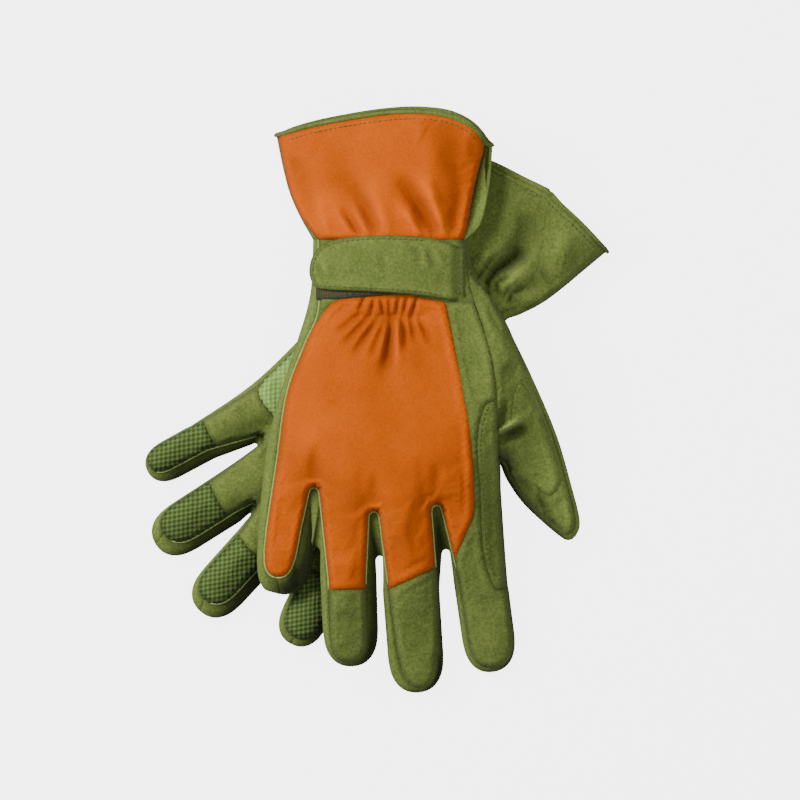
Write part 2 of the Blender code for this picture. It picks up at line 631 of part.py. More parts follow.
def cuff_region(glove, level):
    pinky, first, thumb = glove.cuff_sides(level)
    hem = list(hem_line(glove, level))
    return clean(hem[::-1] + pinky[1:] + [first] + [np.array((34.0, CUFF_WRIST_V))] + thumb[:-1])


def strap_stack(glove, layer):
    """Heights (bottom, top) of a layer of the strap closure over the back of the wrist: loop, hook or strap."""
    gaps = {"loop": LAYER_GAP, "hook": 2 * LAYER_GAP + PATCH, "strap": 3 * LAYER_GAP + 2 * PATCH}
    start = gaps[layer] + LAYER_START[glove.side]
    thick = STRAP if layer == "strap" else PATCH

    def wrist(p):
        if glove.palm_up:
            return glove.under(p)
        across = p[:, 0] - WRIST_MIDDLE
        half = np.where(across < 0, WRIST_HALF_PINKY, WRIST_HALF_THUMB)
        return WRIST_EDGE + WRIST_CROWN * (1 - (across / half) ** 2)

    if glove.palm_up:
        return (lambda p: wrist(p) - start), (lambda p: wrist(p) - start - thick)
    return (lambda p: wrist(p) + start + thick), (lambda p: wrist(p) + start)


def elastic(name, glove, level, box):
    """A flat elastic sewn inside the wrist, on the inner face of one sheet."""
    u0, u1, v0, v1 = box
    outer = np.array([(u0, v0), (u1, v0), (u1, v1), (u0, v1)])
    inside = PANEL + ELASTIC_GAP
    if level == "upper":
        return slab(name, glove, outer, "elastic", lambda p: glove.over(p) - inside,
                    lambda p: glove.over(p) - inside - ELASTIC, 8.0)
    return slab(name, glove, outer, "elastic", lambda p: glove.under(p) + inside + ELASTIC,
                lambda p: glove.under(p) + inside, 8.0)


def build(glove):
    s = glove.side + "_"
    back, palm = glove.back_level, glove.palm_level
    sheet(s + "back_panel", glove, back, back_panel(glove), "orange_fabric")
    sheet(s + "wrist_band", glove, back, wrist_band(glove), "green_leather", 8.0)
    sheet(s + "ring_tip_back", glove, back, finger_end(glove, back, "ring", RING_CUT), "green_leather", 9.0)
    sheet(s + "middle_tip_back", glove, back, finger_end(glove, back, "middle", MIDDLE_CUT), "green_leather", 9.0)
    sheet(s + "index_back", glove, back, index_back(glove), "green_leather", 9.0)
    sheet(s + "index_side_patch", glove, back, index_patch(glove), "green_leather", 9.0)
    patch = np.array(THUMB_PATCH[glove.side])
    sheet(s + "thumb_back", glove, back, thumb_region(glove, back), "green_leather", 9.0, [patch])
    sheet(s + "thumb_patch", glove, back, patch, "green_leather", 9.0)
    sheet(s + "thumb_front", glove, palm, thumb_region(glove, palm), "green_leather", 10.0)
    grip = np.array(PALM_GRIP)
    sheet(s + "palm_panel", glove, palm, palm_panel(glove), "green_leather", 12.0, [grip])
    sheet(s + "palm_grip", glove, palm, grip, "grip_fabric", 9.0)
    for f in FINGERS:
        region = finger_end(glove, palm, f, (GRIP_CUT[glove.side][f],) * 2)
        sheet(s + f + "_grip", glove, palm, region, "grip_fabric", 9.0)
    strip(s + "pinky_side_strip", glove, glove.pinky_edge, "green_leather")
    for k, pair in enumerate(("pinky_ring", "ring_middle", "middle_index")):
        strip(s + pair + "_forchette", glove, lambda level, k=k: glove.slot(level, k), "green_leather")
    strip(s + "index_side_strip", glove, glove.index_edge, "green_leather")
    strip(s + "thumb_side_strip", glove, glove.thumb_edge, "green_leather")
    sheet(s + "cuff_back", glove, back, cuff_region(glove, back), "orange_fabric", 13.0)
    sheet(s + "cuff_palm", glove, palm, cuff_region(glove, palm), "green_leather", 13.0)
    binding(s + "hem_binding", glove, "green_leather")
    elastic(s + "back_elastic", glove, back, ELASTIC_BACK)
    elastic(s + "palm_elastic", glove, palm, ELASTIC_PALM)
    inner, outer = STRAP_HINGE_U - STRAP_HINGE_GAP, STRAP_HINGE_U + STRAP_HINGE_GAP
    (top_in, bottom_in), (top_out, bottom_out) = STRAP_ENDS_V
    strap = ((inner, top_in),) + STRAP_TOP + STRAP_TAB + STRAP_BOTTOM + ((inner, bottom_in),)
    anchor = ((STRAP_SEWN_U, top_out), (outer, top_in), (outer, bottom_in), (STRAP_SEWN_U, bottom_out))
    for part, shape, layer, colour in (("loop_patch", LOOP_PATCH, "loop", "dark_loop"),
                                       ("hook_patch", HOOK_PATCH, "hook", "dark_loop"),
                                       ("wrist_strap", strap, "strap", "green_leather"),
                                       ("strap_anchor", anchor, "strap", "green_leather")):
        top, bottom = strap_stack(glove, layer)
        slab(s + part, glove, np.array(shape), colour, top, bottom, STRAP_MESH)


def empty(name, place, parent=None):
    """An empty at a world place, in metres, that stands for a moving body's frame."""
    made = bpy.data.objects.new(name, None)
    bpy.context.scene.collection.objects.link(made)
    adopt(parent, made, place)
    return made


def adopt(parent, child, place=(0.0, 0.0, 0.0)):
    """Parents child, which is to stay at a world place."""
    child.parent = parent
    while parent:
        place = tuple(a - b for a, b in zip(place, parent.location))
        parent = parent.parent
    child.location = place


def strap_hinge(glove, parent=None):
    """The line the strap folds back about, just outside its outer face, with the pieces that turn on it."""
    top, bottom = strap_stack(glove, "strap")
    at = np.array([(STRAP_HINGE_U, 0.0)])
    outer_face = bottom(at) - STRAP_HINGE_RISE if glove.palm_up else top(at) + STRAP_HINGE_RISE
    hinge = empty(glove.side + "_strap_hinge", tuple(glove.world(at, outer_face)[0] * MM), parent)
    for part in ("wrist_strap", "hook_patch"):
        adopt(hinge, bpy.data.objects[glove.side + "_" + part])


def make_materials():
    made = {}
    for name, (rgb, roughness) in COLOURS.items():
        material = bpy.data.materials.new(name)
        material.use_nodes = True
        shader = material.node_tree.nodes["Principled BSDF"]
        shader.inputs["Base Color"].default_value = (*rgb, 1.0)
        shader.inputs["Roughness"].default_value = roughness
        shader.inputs["Metallic"].default_value = 0.0
        made[name] = material
    return made


for old in list(bpy.data.objects):
    bpy.data.objects.remove(old)
MATERIALS = make_materials()
LEFT = Glove("left")
RIGHT = Glove("right")
build(LEFT)
build(RIGHT)
strap_hinge(LEFT)
LIFT = empty("right_glove_lift", (RIGHT.origin[0] * MM, RIGHT.origin[1] * MM, 0.0))
for piece in list(bpy.data.objects):
    if piece.type == "MESH" and piece.name.startswith("right_"):
        adopt(LIFT, piece)
strap_hinge(RIGHT, LIFT)
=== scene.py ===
"""Looks for a pair of gardening gloves, round the CAD frame.

Cloth and leather panels with their seams, side strips, piping, stitches, straps and grips. Each glove is
drawn in its own hand frame, in millimetres: u points to the thumb side, v to the fingertips, and w up from
the glove's underside. World units are metres. Tables that differ between the gloves are keyed by the side.
"""
import math

import bpy
import numpy as np
from mathutils.bvhtree import BVHTree
from mathutils.geometry import delaunay_2d_cdt
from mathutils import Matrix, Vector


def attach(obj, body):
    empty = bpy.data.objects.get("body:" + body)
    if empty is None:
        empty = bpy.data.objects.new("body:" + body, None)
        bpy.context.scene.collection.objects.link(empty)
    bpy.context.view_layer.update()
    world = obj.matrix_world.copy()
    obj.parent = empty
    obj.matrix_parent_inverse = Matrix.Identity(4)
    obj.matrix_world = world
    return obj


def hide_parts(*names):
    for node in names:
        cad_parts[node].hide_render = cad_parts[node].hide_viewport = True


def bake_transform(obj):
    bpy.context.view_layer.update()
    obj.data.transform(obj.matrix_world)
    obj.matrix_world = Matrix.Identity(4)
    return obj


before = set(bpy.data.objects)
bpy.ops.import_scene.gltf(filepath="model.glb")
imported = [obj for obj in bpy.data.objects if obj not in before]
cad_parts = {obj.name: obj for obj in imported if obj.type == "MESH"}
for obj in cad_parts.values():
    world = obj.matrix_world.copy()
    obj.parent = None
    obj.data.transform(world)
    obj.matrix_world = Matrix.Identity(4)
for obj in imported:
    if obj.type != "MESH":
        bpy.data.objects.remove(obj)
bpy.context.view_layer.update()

MM = 0.001

# Spacing of the points, in millimetres
EDGE_STEP = 1.7  # along outlines and seams
UPPER_GRID = 1.9  # inside the panels that face up
LOWER_GRID = 2.8  # inside the panels that face down
JOIN = 0.8  # points of two lines closer than this are one point
ROW_SHARE = 0.87  # spacing of the grid's rows, as a share of the spacing along them
CLEAR_SHARE = 0.5  # grid points keep this share of the spacing from lines
STRIP_ROWS = 5  # rows of faces up a side strip
STRIP_WIDTH = 9  # height of a side strip in cloth coordinates
UV_MM = 100  # millimetres of cloth for each unit of its coordinates
CHUNK = 1500  # points whose distances are worked out at a time
ARCH_STEPS = 260

# The lie of the pair
ORIGIN = {"right": (5.739, 59.557), "left": (36.739, 53.857)}  # where each hand frame's origin lies
POINTS = {"right": 270, "left": 229.5}  # which way the fingers point, in degrees
STACK_HEIGHT = 27.5  # height of the right glove's underside over the left hand
STACK_FINGERS = 19  # and over the left fingers
STACK_FADE = (96, 128)
STACK_FLAT = 36  # how far across the left glove it stays that high
STACK_REACH = 112  # and where it has sunk to the table
TABLE_CLEAR = 1.5
STRAP_LIFT = 6.8  # how far the left glove's strap lifts its wrist
STRAP_LIFT_FADE = (17, 52)

# Fingers: centre line from root to tip (u, v), half width, and how much of it is lost towards the tip
FINGERS = ("pinky", "ring", "middle", "index")
SLOTS_BETWEEN = ("pinky_ring", "ring_middle", "middle_index")
FINGER_LINES = {
    "right": {
        "lower": {
            "pinky": ((-46.5, 97), (-49.5, 150.5), 12.8),
            "ring": ((-20.7, 101), (-17.5, 182), 12.9),
            "middle": ((6.4, 101), (13, 194), 13),
            "index": ((35.9, 101), (47.4, 184.5), 12.3),
        },
        "upper": {
            "pinky": ((-45.6, 97), (-52.3, 141.5), 8.6, 0.20),
            "ring": ((-21, 101), (-18.6, 180.5), 8.9),
            "middle": ((7, 101), (14.2, 192.5), 13.5, 0.35),
            "index": ((37, 101), (48, 183), 10.9),
        },
    },
    "left": {
        "lower": {
            "pinky": ((-28.1, 97), (-51.6, 158.4), 9.2),
            "ring": ((-3.2, 103), (-27.1, 181.4), 12),
            "middle": ((11, 105), (8.2, 191.5), 12.2),
            "index": ((32, 103), (49.8, 175.8), 11.2),
        },
        "upper": {
            "pinky": ((-30.1, 96.5), (-53.2, 156.2), 6.6),
            "ring": ((-5.2, 102.4), (-27.5, 175.5), 9.6),
            "middle": ((9, 105), (6.3, 186.3), 9.2),
            "index": ((32, 103), (49.2, 172.8), 9.6),
        },
    },
}
SIDE_FROM = {"right": 0.60, "left": 0.66}  # where a finger's straight side begins, as a share of it
FINGER_TAPER = 0.06
TIP_ROUND = 1.25  # length of a fingertip's round, in half widths
TIP_POWER = 2.3
# The round ends of the slots between the fingers: u, v and radius
SLOTS = {
    "right": {
        "lower": ((-34, 127, 2.4), (-4.6, 131, 2.4), (25.8, 128, 2.4)),
        "upper": ((-35, 100, 2.4), (-7.4, 111, 2.4), (21.4, 108, 2.4)),
    },
    "left": {
        "lower": ((-22, 116, 1.6), (-3.3, 142, 0.9), (24.5, 124, 2.4)),
        "upper": ((-22.5, 112, 2), (-4.6, 138, 1.8), (21.5, 120, 2.4)),
    },
}

# Side curves of the hand, the thumb and the cuff
PINKY_SIDE = {
    "right": {
        "lower": ((-35, -14), (-35.5, 4), (-37.5, 17), (-43, 35), (-51, 60),
                  (-56.5, 84)),
        "upper": ((-33, -14), (-32.5, 4), (-33.2, 20), (-39.4, 34.5), (-47.6, 57),
                  (-52, 87)),
    },
    "left": {
        "lower": ((-34, -14), (-34, 4), (-35, 17), (-36, 35), (-37.5, 62),
                  (-40.8, 96)),
        "upper": ((-32, -14), (-32, 4), (-33, 17), (-34.5, 35), (-36, 62),
                  (-39.2, 96)),
    },
}
WEB = {"right": (50, 86), "left": (49.2, 76)}
HAND_EDGE = ((50.5, 93), (50.8, 104))
THUMB_SEAM = {
    "right": ((34, -14), (37, 8), (43.5, 28.5), (48.6, 50.6), WEB["right"]),
    "left": ((34, -14), (25.5, -5), (25, 5), (35, 22), (46, 46), WEB["left"]),
}
THUMB_OUTER = {
    "right": ((34, -14), (38.5, 2), (47.5, 17), (55.5, 30), (65.7, 51), (76.4, 76.4),
              (83.3, 100)),
    "left": ((34, -14), (30.8, -7), (28, -2), (28, 4), (31.5, 10.5), (39, 17.5), (49, 26),
             (59, 40), (68.5, 61), (74, 78)),
}
THUMB_TIP = {
    "right": ((86.9, 115), (85.5, 121.5), (82, 124), (77.5, 121.5)),
    "left": ((76.8, 90), (76, 95.5), (73, 98.5), (69, 96.8)),
}
THUMB_INNER = {
    "right": ((68, 113.4), (60.4, 105.7), (54.2, 96.5), (51.4, 90)),
    "left": ((63.5, 91.5), (59, 87.5), (55, 83.5), (52, 79.5)),
}
THUMB_PATCH = {
    "right": ((60, 52), (68, 64), (74.5, 82), (78, 94.5), (77.2, 100.5), (72.8, 103.8),
              (65.5, 97), (59, 84), (56, 68)),
    "left": ((56.5, 50), (61.5, 58), (66.5, 70), (69, 81), (67, 87), (62.5, 84), (57.5, 74),
             (54, 62)),
}
THUMB_MIDDLE = (47, 4)  # u of the thumb's middle line at v 0, and how far it is set back
THUMB_LEAN = {"right": 0.27, "left": 0.21}  # how much further out it is for each millimetre of v
THUMB_INSET = 2.2  # how far the upper sheet ends inside the lower one round the thumb
THUMB_INSET_FADE = (-10, 30)
CUFF_PINKY = {"right": ((-48.6, -46), (-45.4, -34.5), (-40.4, -23.5)), "left": ((-42, -36),)}
CUFF_THUMB = {
    "right": {"upper": ((36, -22), (39, -38)),
              "lower": ((41, -21), (44, -32), (45.8, -44))},
    "left": dict.fromkeys(("upper", "lower"), ((36.3, -21), (38.4, -31), (40.4, -43))),
}
PALM_CUFF_EXTRA = {"right": 3, "left": 0.5}  # how much wider the cuff's palm side is
HEM = {
    "right": ((-51.8, -61.5), (-33, -66.8), (-4.6, -71.6), (14, -72.5), (28, -70.6), (38.5, -65.3),
              (43.8, -57)),
    "left": ((-44, -43), (-24, -50.5), (-4, -55), (6.5, -57.4), (9, -56.6), (26, -56.4),
             (42.5, -55.2)),
}
HEM_PALM_EXTRA = 1.6  # how far the palm side of the hem reaches past its back
HEM_BOW = (0.15, 3)  # the part of a sine's half turn by which it does so

# Seams
BACK_SEAM_END = (38.6, 14.5)
BACK_CORNER_V = 29  # where the back panel's edge meets the side strip
BACK_CORNER = ((-32, 21.5), (-28.6, 17), (-24, 13.8), (-13, 12.4), (4.6, 11.4), (25.5, 14.5))
BACK_THUMB_EDGE = ((25.5, 14.5), (28.5, 29), (33.1, 53.4), (37, 76.4), (38.6, 99.4), (38, 113.6))
# Where seams cross the fingers, as shares of the finger's length
TIP_CUT = {"ring": (0.565, 0.575), "middle": (0.49, 0.39)}
INDEX_POINT = 0.37
INDEX_PATCH_END = 0.56
GRIP_CUT = {
    "right": {"pinky": 0.64, "ring": 0.48, "middle": 0.55, "index": 0.58},
    "left": {"pinky": 0.50, "ring": 0.61, "middle": 0.61, "index": 0.55},
}
INDEX_PATCH = ((48.8, 60), (43.6, 63), (40.2, 78), (41.4, 100), (42.8, 128), (48, 146))
PALM_GRIP = {
    "right": ((-33, 58), (-22, 61), (-13, 73), (-11.5, 89), (-17.5, 99.5), (-24, 101.5),
              (-33.5, 97.5), (-36, 90), (-35, 73)),
    "left": ((-34.6, 58), (-22, 61), (-13, 73), (-11.5, 89), (-17.5, 99.5), (-24, 101.5),
             (-35, 99), (-38, 93), (-36.6, 73)),
}
# A point inside each panel that no single outline encloses
BACK_SEEDS = {
    "back_panel": (0, 60), "wrist_band": (0, 0), "cuff_back": (0, -40),
    "index_back": (34, 40), "thumb_back": (52, 45), "index_side_patch": (45.5, 95),
}
PALM_SEEDS = {"palm_panel": (0, 40), "cuff_palm": (0, -40), "thumb_front": (52, 45)}
TIP_SEED = 70  # distance from a finger's root to a point in its leather end
GRIP_SEED = 0.85  # and to one in its grip, as a share of the finger
STRIP_OF = {
    "cuff_pinky": "cuff_palm", "cuff_thumb": "cuff_palm", "pinky": "pinky_side_strip",
    "index": "index_side_strip", "thumb": "thumb_side_strip",
}

# Heights of the upper sheet, by v
EDGE_V = (-75, -48, -30, -18, 22, 60, 100, 190)
EDGE_W = (3.2, 3.2, 5, 9.4, 10, 12, 11, 8.5)
CROWN_V = (-75, -45, -19, 16, 60, 95, 118, 195)
CROWN = (1.25, 0.95, 0.50, 0.50, 0.66, 0.64, 0.62, 0.60)
LEFT_FINGER_CROWN = (0.3, 96, 116)  # how much rounder the left fingers lie, fading in between these v
SOFT_REACH = 12  # a panel wider than this to each side flattens on top
ROUNDING = 0.56  # exponent of the cloth's arch: 0.5 is a half circle
ROUNDING_AT = 77  # lift at which the exponent changes nothing
UNDER_STRAP = (-18, -12, 12, 16)  # v between which the wrist stays below the strap
THUMB_EDGE_W = 8
THUMB_FADE = (44, 60)
THUMB_END = (100, 126)
THUMB_INNER_U = 58
CURL = 1.9  # how far the lower sheet turns up at its edge
CURL_REACH = 3.4
TUCK = 1.2  # how far the lower sheet's edge lies inside the glove's outline
LOOSE = 0.45  # how far the side strips stand out past the lower outline
OUT_AT = 0.6  # how far down a side strip stands out furthest, as a share of it
FAR = (7, 12)  # a side strip that reaches further out than this runs down steeply
STEEP_POWER = 2.4
EDGE_FADE = 6  # folds fade out this close to the sheet's edge
SEAM_PINCH = (0.55, 0.9)  # how far a seam pulls the cloth in, and how far from it
SEAM_PUFF = (0.35, 2.6, 1.3)  # how far the cloth stands up again beside it, how far away, and how widely
PANEL_THICK = 0.9
FINE_FADE = 4  # small folds fade out this close to the edge
LOWER_LIFT = 0.2  # height of the lower sheet over the glove's underside
STRAP_GAP = 0.3  # how far the wrist may stand up under the strap
PUFF_BESIDE = (4.5, 3.2)  # how far from the elastic's line the cloth puffs up, and how widely
ELASTIC_WIDTH = 1.4  # how widely the elastic draws it down

# Tone: how light the cloth is: uneven at random, with painted shade and painted light for its folds, its
# seams and the way the light falls on it
# painted shade across each finger, darker on its side away from the light
FINGER_SHADE = {"right": 0.12, "left": 0.45}
LIGHT_FROM = (-0.87, 0.49)
STRIP_TONE = 0.95  # the side strips
STRIP_LIT = 0.45  # how much lighter they are towards the light
STRIP_SHADED = 0.8  # and darker away from it
STRIP_FAR_SHADE = 0.55  # painted shade: and darker where they reach far out
SLOT_SMOOTH = 4
THUMB_LIT = -1.2  # the thumb leans: its outer strip is the light one
BETWEEN_LIT = 1.3  # painted shade: how much darker the shaded strips between the fingers are
# the darkest that painted shade makes a side strip
DARKEST = 0.12
GUSSET_PAINTED_LIGHT = 1.3  # painted light: how much lighter the right cuff's gusset is than the other side strips
LOWER_TONE = 0.8
SEAM_PAINTED_SHADE = (0.30, 1.1)  # painted shade: how much darker a seam's groove is, and how widely
SEAM_PAINTED_LIGHT = (0.10, 2.6, 1.2)  # painted light: how much lighter the cloth is on the puff beside it, how far away, and how widely
FINGERS_FROM = (88, 112)  # v between which the fingers' shading sets in
FINGER_PAINTED_LIGHT = 0.35  # painted light: how much lighter their side towards the light is, as a share of the painted shade
WRIST_PAINTED_LIGHT = (0.35, -5, 9)  # painted light against the right glove's shadow: how much lighter the left wrist is, at which v, and how widely

# Folds in the hand frame: (from, to, half width, height), a ridge where height is positive
CREASES = {
    "right": (
        # cuff
        ((-14.3, -17.5), (-22, -29), 2.6, -2.6), ((-18.5, -18), (-26, -30), 2.8, 1.5),
        ((-20, -34), (-28, -54), 6, -1.3), ((-6, -19), (-18.4, -40), 3, -2.8),
        ((-10.5, -17), (-18, -29), 2.2, 2), ((-1, -18), (-9, -40), 4, 1.8),
        ((21.2, -17.5), (4.1, -43), 3.2, -3.6), ((24.5, -20), (16, -42), 3.2, 2.8),
        ((13.5, -16), (6, -29), 2.4, 2.2), ((31.7, -41), (24.8, -68), 6.5, -2.4),
        ((29, -17), (31.5, -38), 2.6, -2), ((-46, -50.5), (-41, -45), 3.4, -1.6),
        ((-29, -18), (-34, -34), 3, 1.6), ((-36, -28), (-42, -46), 4, -1.2),
        # back of the hand
        ((-2, 30), (-6, 60), 5, -0.7), ((12, 30), (20, 66), 5, -0.7),
        ((-40, 88), (-34, 66), 6, 0.5), ((-14, 92), (-12, 116), 3, -0.7),
        ((14, 88), (16, 112), 3, -0.7), ((-7.4, 96), (-7.4, 109), 3, -1.3),
        ((-35, 84), (-35, 98), 3, -1.5), ((21.4, 92), (21.4, 107), 3, -1.3),
        # thumb and its web
        ((52.9, 60.5), (50.2, 76), 1.8, -2.4), ((50.8, 74.5), (61.5, 68), 2, 2.6),
        ((50.6, 79), (62.5, 72), 2.2, -4.2), ((50.8, 83.5), (55, 94), 2.6, -2.6),
        ((58, 96), (66, 103), 2.4, -1.6), ((69, 104.5), (75.5, 118), 1.9, -2.4),
        ((60, 40), (54, 50), 2.8, -0.9), ((44, 20), (56, 44), 3, 0.8),
        # fingers
        ((-26, 160), (-12, 162), 3, -0.5), ((4, 158), (20, 160), 3, -0.5),
        ((40, 150), (48, 156), 3, -0.6), ((32, 120), (38, 128), 2.6, -0.6),
    ),
    "left": (
        # cuff
        ((9, -10.5), (12.5, -31), 4, -3.2), ((12.5, -29), (5, -47), 6, -2.4),
        ((17, -12), (21, -34), 4, 2.4), ((24.6, -10), (29, -26), 3, -1.8),
        ((1.5, -10), (3, -24), 3, 1.8), ((27, -36), (24, -54), 6, 1),
        ((34, -14), (26, -8), 2.4, -2), ((34, 0), (27, 4), 2.4, 1.2),
        # roots of the fingers
        ((-34.5, 88), (-22, 96), 3.2, -1.2), ((-20, 88), (-6, 92), 3.4, -1),
        ((-30, 112), (-42, 108), 3, -0.8), ((-8, 112), (-18, 118), 3, -1),
        ((-16, 128), (-26, 132), 3, -0.9), ((-38, 126), (-46, 124), 3, -0.7),
        ((-26, 70), (-38, 62), 3.6, -1.2),
    ),
}
# Pleats at the wrist elastic that faces up: (from, to, half width, height) of each valley
PLEATS = {
    "right": (
        ((-12, 12.6), (-14.4, 19), 0.9, -1.7), ((-7.6, 14), (-8.9, 19.6), 0.9, -1.8),
        ((-4.4, 13.6), (-2.6, 21.6), 0.9, -1.9), ((-0.4, 13.2), (-0.2, 21), 0.8, -1.4),
        ((3.9, 12.6), (2.6, 21.6), 0.9, -1.8), ((7.6, 12.6), (6.2, 20.6), 0.9, -1.7),
        ((12.4, 12.6), (9.5, 22), 1, -2.1),
        ((-13, 19.4), (-24, 28.5), 1.3, -1.3), ((-8.5, 20), (-21, 34), 1.5, -1.8),
        ((-5, 21.6), (-16, 38), 1.7, -1.9), ((-2.2, 22.6), (-8.5, 40), 1.6, -1.2),
        ((0.5, 21.6), (-2.2, 46), 2.3, -3), ((5.8, 22.2), (7.4, 36), 1.6, -1.7),
        ((9.7, 22.2), (11.4, 32), 1.4, -1.5), ((13.5, 22.6), (19, 34), 1.5, -1.4),
        ((-1, 25), (-4.5, 42), 1.8, 1), ((3.4, 24), (3.4, 44), 2, 1.2),
        # fold at the thumb's web
        ((50.6, 73.6), (59.6, 68.8), 1, 2.2), ((50.8, 76.6), (61, 71.2), 1.2, -3.2),
    ),
    "left": (
        ((5.4, -6), (5, -21), 1.1, -1.7), ((9.9, -8.7), (9.4, -15.4), 1.2, -2.4),
        ((9.4, -15), (12.8, -24), 1.6, -2.6), ((12.8, -24), (14.2, -31.8), 2.6, -2.4),
        ((9.9, -8.7), (14.8, -3.8), 1.1, -1.8), ((15.6, -8.9), (13.4, -12.6), 1, -2),
        ((14, -12.6), (16.2, -18), 1.2, -1.8), ((20.5, -8.6), (20, -14), 1, -1.3),
        ((23.7, -8.7), (22.4, -11.8), 1, -2), ((22.4, -11.8), (24.8, -18.4), 1.2, -1.8),
    ),
}
# The elastic's line across the pleats: u and half width, v, and how far the cloth puffs up beside it
PLEAT_LINE = {"right": (-1, 17.5, 21.4, 1.1), "left": (14, 14, -8, 0.5)}
FOLD_SIZE = 1.2
PLEAT_SIZE = 1.35
FOLD_PAINTED_SHADING = 0.14  # painted shade: how much darker the cloth is for each millimetre a fold goes down, and painted light as much lighter where it stands up; the next is the same for the pleats
PLEAT_PAINTED_SHADING = 0.22
# Unevenness of the cloth: (height, size, seed) of each layer of noise
UNEVEN = {"right": (0.6, 17, 5), "left": (0.6, 17, 3)}
FINE_UNEVEN = ((0.20, 6.5, 8), (0.10, 3.1, 9))
TONE_UNEVEN = ((0.06, 22, 11), (0.04, 7, 12))
# Painted shade and painted light: where the cloth is made lighter or darker for how light falls on the thumb,
# the index patch and the cuffs, and darker on the right fingertips: (from, to, half width, by how much)
SHADES = {
    "right": (
        ((50.8, 79), (56.5, 93), 3.6, -0.50), ((56, 92), (70, 108.5), 3, -0.45),
        ((52.5, 62), (51.2, 71), 2.2, -0.35), ((69, 106), (77.5, 119), 2.2, -0.40),
        ((66, 74), (82, 120), 8, 0.30), ((58, 40), (70, 84), 7, 0.18),
        ((46.5, 62), (47, 110), 7, 0.10), ((44, 130), (48, 190), 14, -0.12),
        ((-20, 145), (-16, 190), 12, -0.10), ((12, 150), (16, 205), 14, -0.13),
        ((68, 58), (85, 114), 3, 0.30),
    ),
    "left": (((12, -22), (10, -48), 9, -0.18), ((36, -24), (32, -8), 3, -0.25)),
}
# A line along which the seams hardly show
FAINT_SEAM = {
    "right": ((66, 62), (60, 51), (56.5, 60), (56, 70), (59.5, 85), (64.5, 95)),
    "left": ((-34, -14), (34, -14)),
}
FAINT = (7, 4)  # by how many millimetres it seems further from a seam, and how widely

# Wrist strap, from the sewn end round the tab, and the patches under it
STRAP_LINE = ((28, -12), (17.7, -15), (-3.5, -16), (-21.6, -14.8), (-31.5, -11.4),
              (-35.8, -6), (-37.2, 0), (-36.2, 5), (-32, 8.6), (-10.5, 9.8), (10.6, 11.2),
              (28, 13.7), (34.5, 14.6))
STRAP_SEWN = {
    "right": ((34.5, 14.6), (34.5, -9.5), (28, -12)),
    "left": ((34.5, 14.6), (33.5, 8), (28.4, 0), (28.6, -6), (30.4, -10.6), (28, -12)),
}
STRAP_THICK = 1.3
STRAP_HINGE_U = 27.9
STRAP_PUCKERS = (
    ((-31.6, -4.5), (-29, 1.5), 1.3, 1.6), ((-33.4, -3), (-31.5, 3), 1.4, -1.2),
    ((-27.4, -3), (-26, 2.5), 1.2, -1),
    ((-4.1, -6), (-1.4, 1.5), 1.5, -0.9), ((-1.6, -6), (1, 1), 1.6, 0.7),
    ((12.4, -9.5), (14.3, -1.5), 1.5, -1), ((14.8, -9), (16.6, -1.5), 1.5, 0.8),
    ((17.5, -8.5), (21.6, -0.6), 1.5, -1), ((20.6, -9), (24.4, -1), 1.6, 0.8),
    ((6, -12), (4, -2), 3, 0.5), ((24, 2), (22, 11), 2, -0.6),
)
PUCKER_SIZE = 1.3
# painted shade in the strap's puckers and painted light on their ridges, for each millimetre of their height
PUCKER_PAINTED_SHADING = 0.20
# Half the length of each strap's bend about its hinge, short on the left so that it stays just above the
# table; the tab's stitches end where it begins
STRAP_BEND = {"right": 3.4, "left": 1.6}
STRAP_GRID = 1.7
STRAP_SEWN_DOWN = 0.88  # how much of its clearance the strap loses where it is sewn down
STRAP_SEWN_OVER = {"right": 4.2, "left": 1.8}  # and over how many millimetres it does so
STRAP_ROWS = (33.2, 31.6)  # u of the two rows of stitches that hold it
STRAP_ROW_V = {"right": (-9, 13), "left": (9, 13)}
HOOK_PATCH = ((-33, -5), (-30, -8), (-10, -11), (-8, 6), (-29, 5.5))
LOOP_PATCH = ((-34, -7), (0, -10), (3, 10.8), (-13, 12.2), (-24, 13.4), (-34, 13.8))
# From the wrist's outer face to the inner face of each layer
LAYERS = {"loop": 0.9, "hook": 2, "strap": 3.1}
PATCH_THICK = 0.56
NAP = (0.12, 1.1, 31)  # height, size and seed of the tape's nap
STRAP_UNEVEN = (0.25, 8, 21)
ROUND_EDGE = 0.45  # how far the edges of the strap, the patches and the elastics turn down
THREAD_LIFT = 0.12
WRIST_EDGE = 9.7
WRIST_CROWN = 9
WRIST_MIDDLE = 1
WRIST_HALF_PINKY = 34
WRIST_HALF_THUMB = 44
ELASTICS = {"back": (-24, 24, 18, 25), "palm": (-24, 24, -9, -2)}  # their u and v limits
ELASTIC_THICK = 0.8
ELASTIC_DOWN = 5.6  # how far an elastic lies below the cloth it gathers
ELASTIC_UP = 2.6  # and how far above the lower sheet
ELASTIC_RIB = (0.12, 1.4)  # height and pitch of its ribs
PIPING_RADIUS = 0.45
PIPED_TO = {"pinky": 150, "pinky_ring": 148, "ring_middle": 146, "middle_index": 138}
HEM_RADIUS = 0.95
HEM_FLAT = 1.5  # how much wider the tape is than thick
TRIM_STEP = 1.2
HEM_STITCH = 3  # how far inside the hem its stitches run
PATCH_STITCH = -1.4  # how far beside the index patch's seam
TAB_STITCH = 1.6  # how far inside the strap's edge
STITCH = (1.7, 2.5, 0.24)  # length, pitch and radius of a stitch
CELL_PITCH = 2.1  # size of a grip's diamond cells
CELL_TURN = math.radians(40)
CELL_DEPTH = 0.45
ORANGE_PARTS = ("back_panel", "cuff_back")

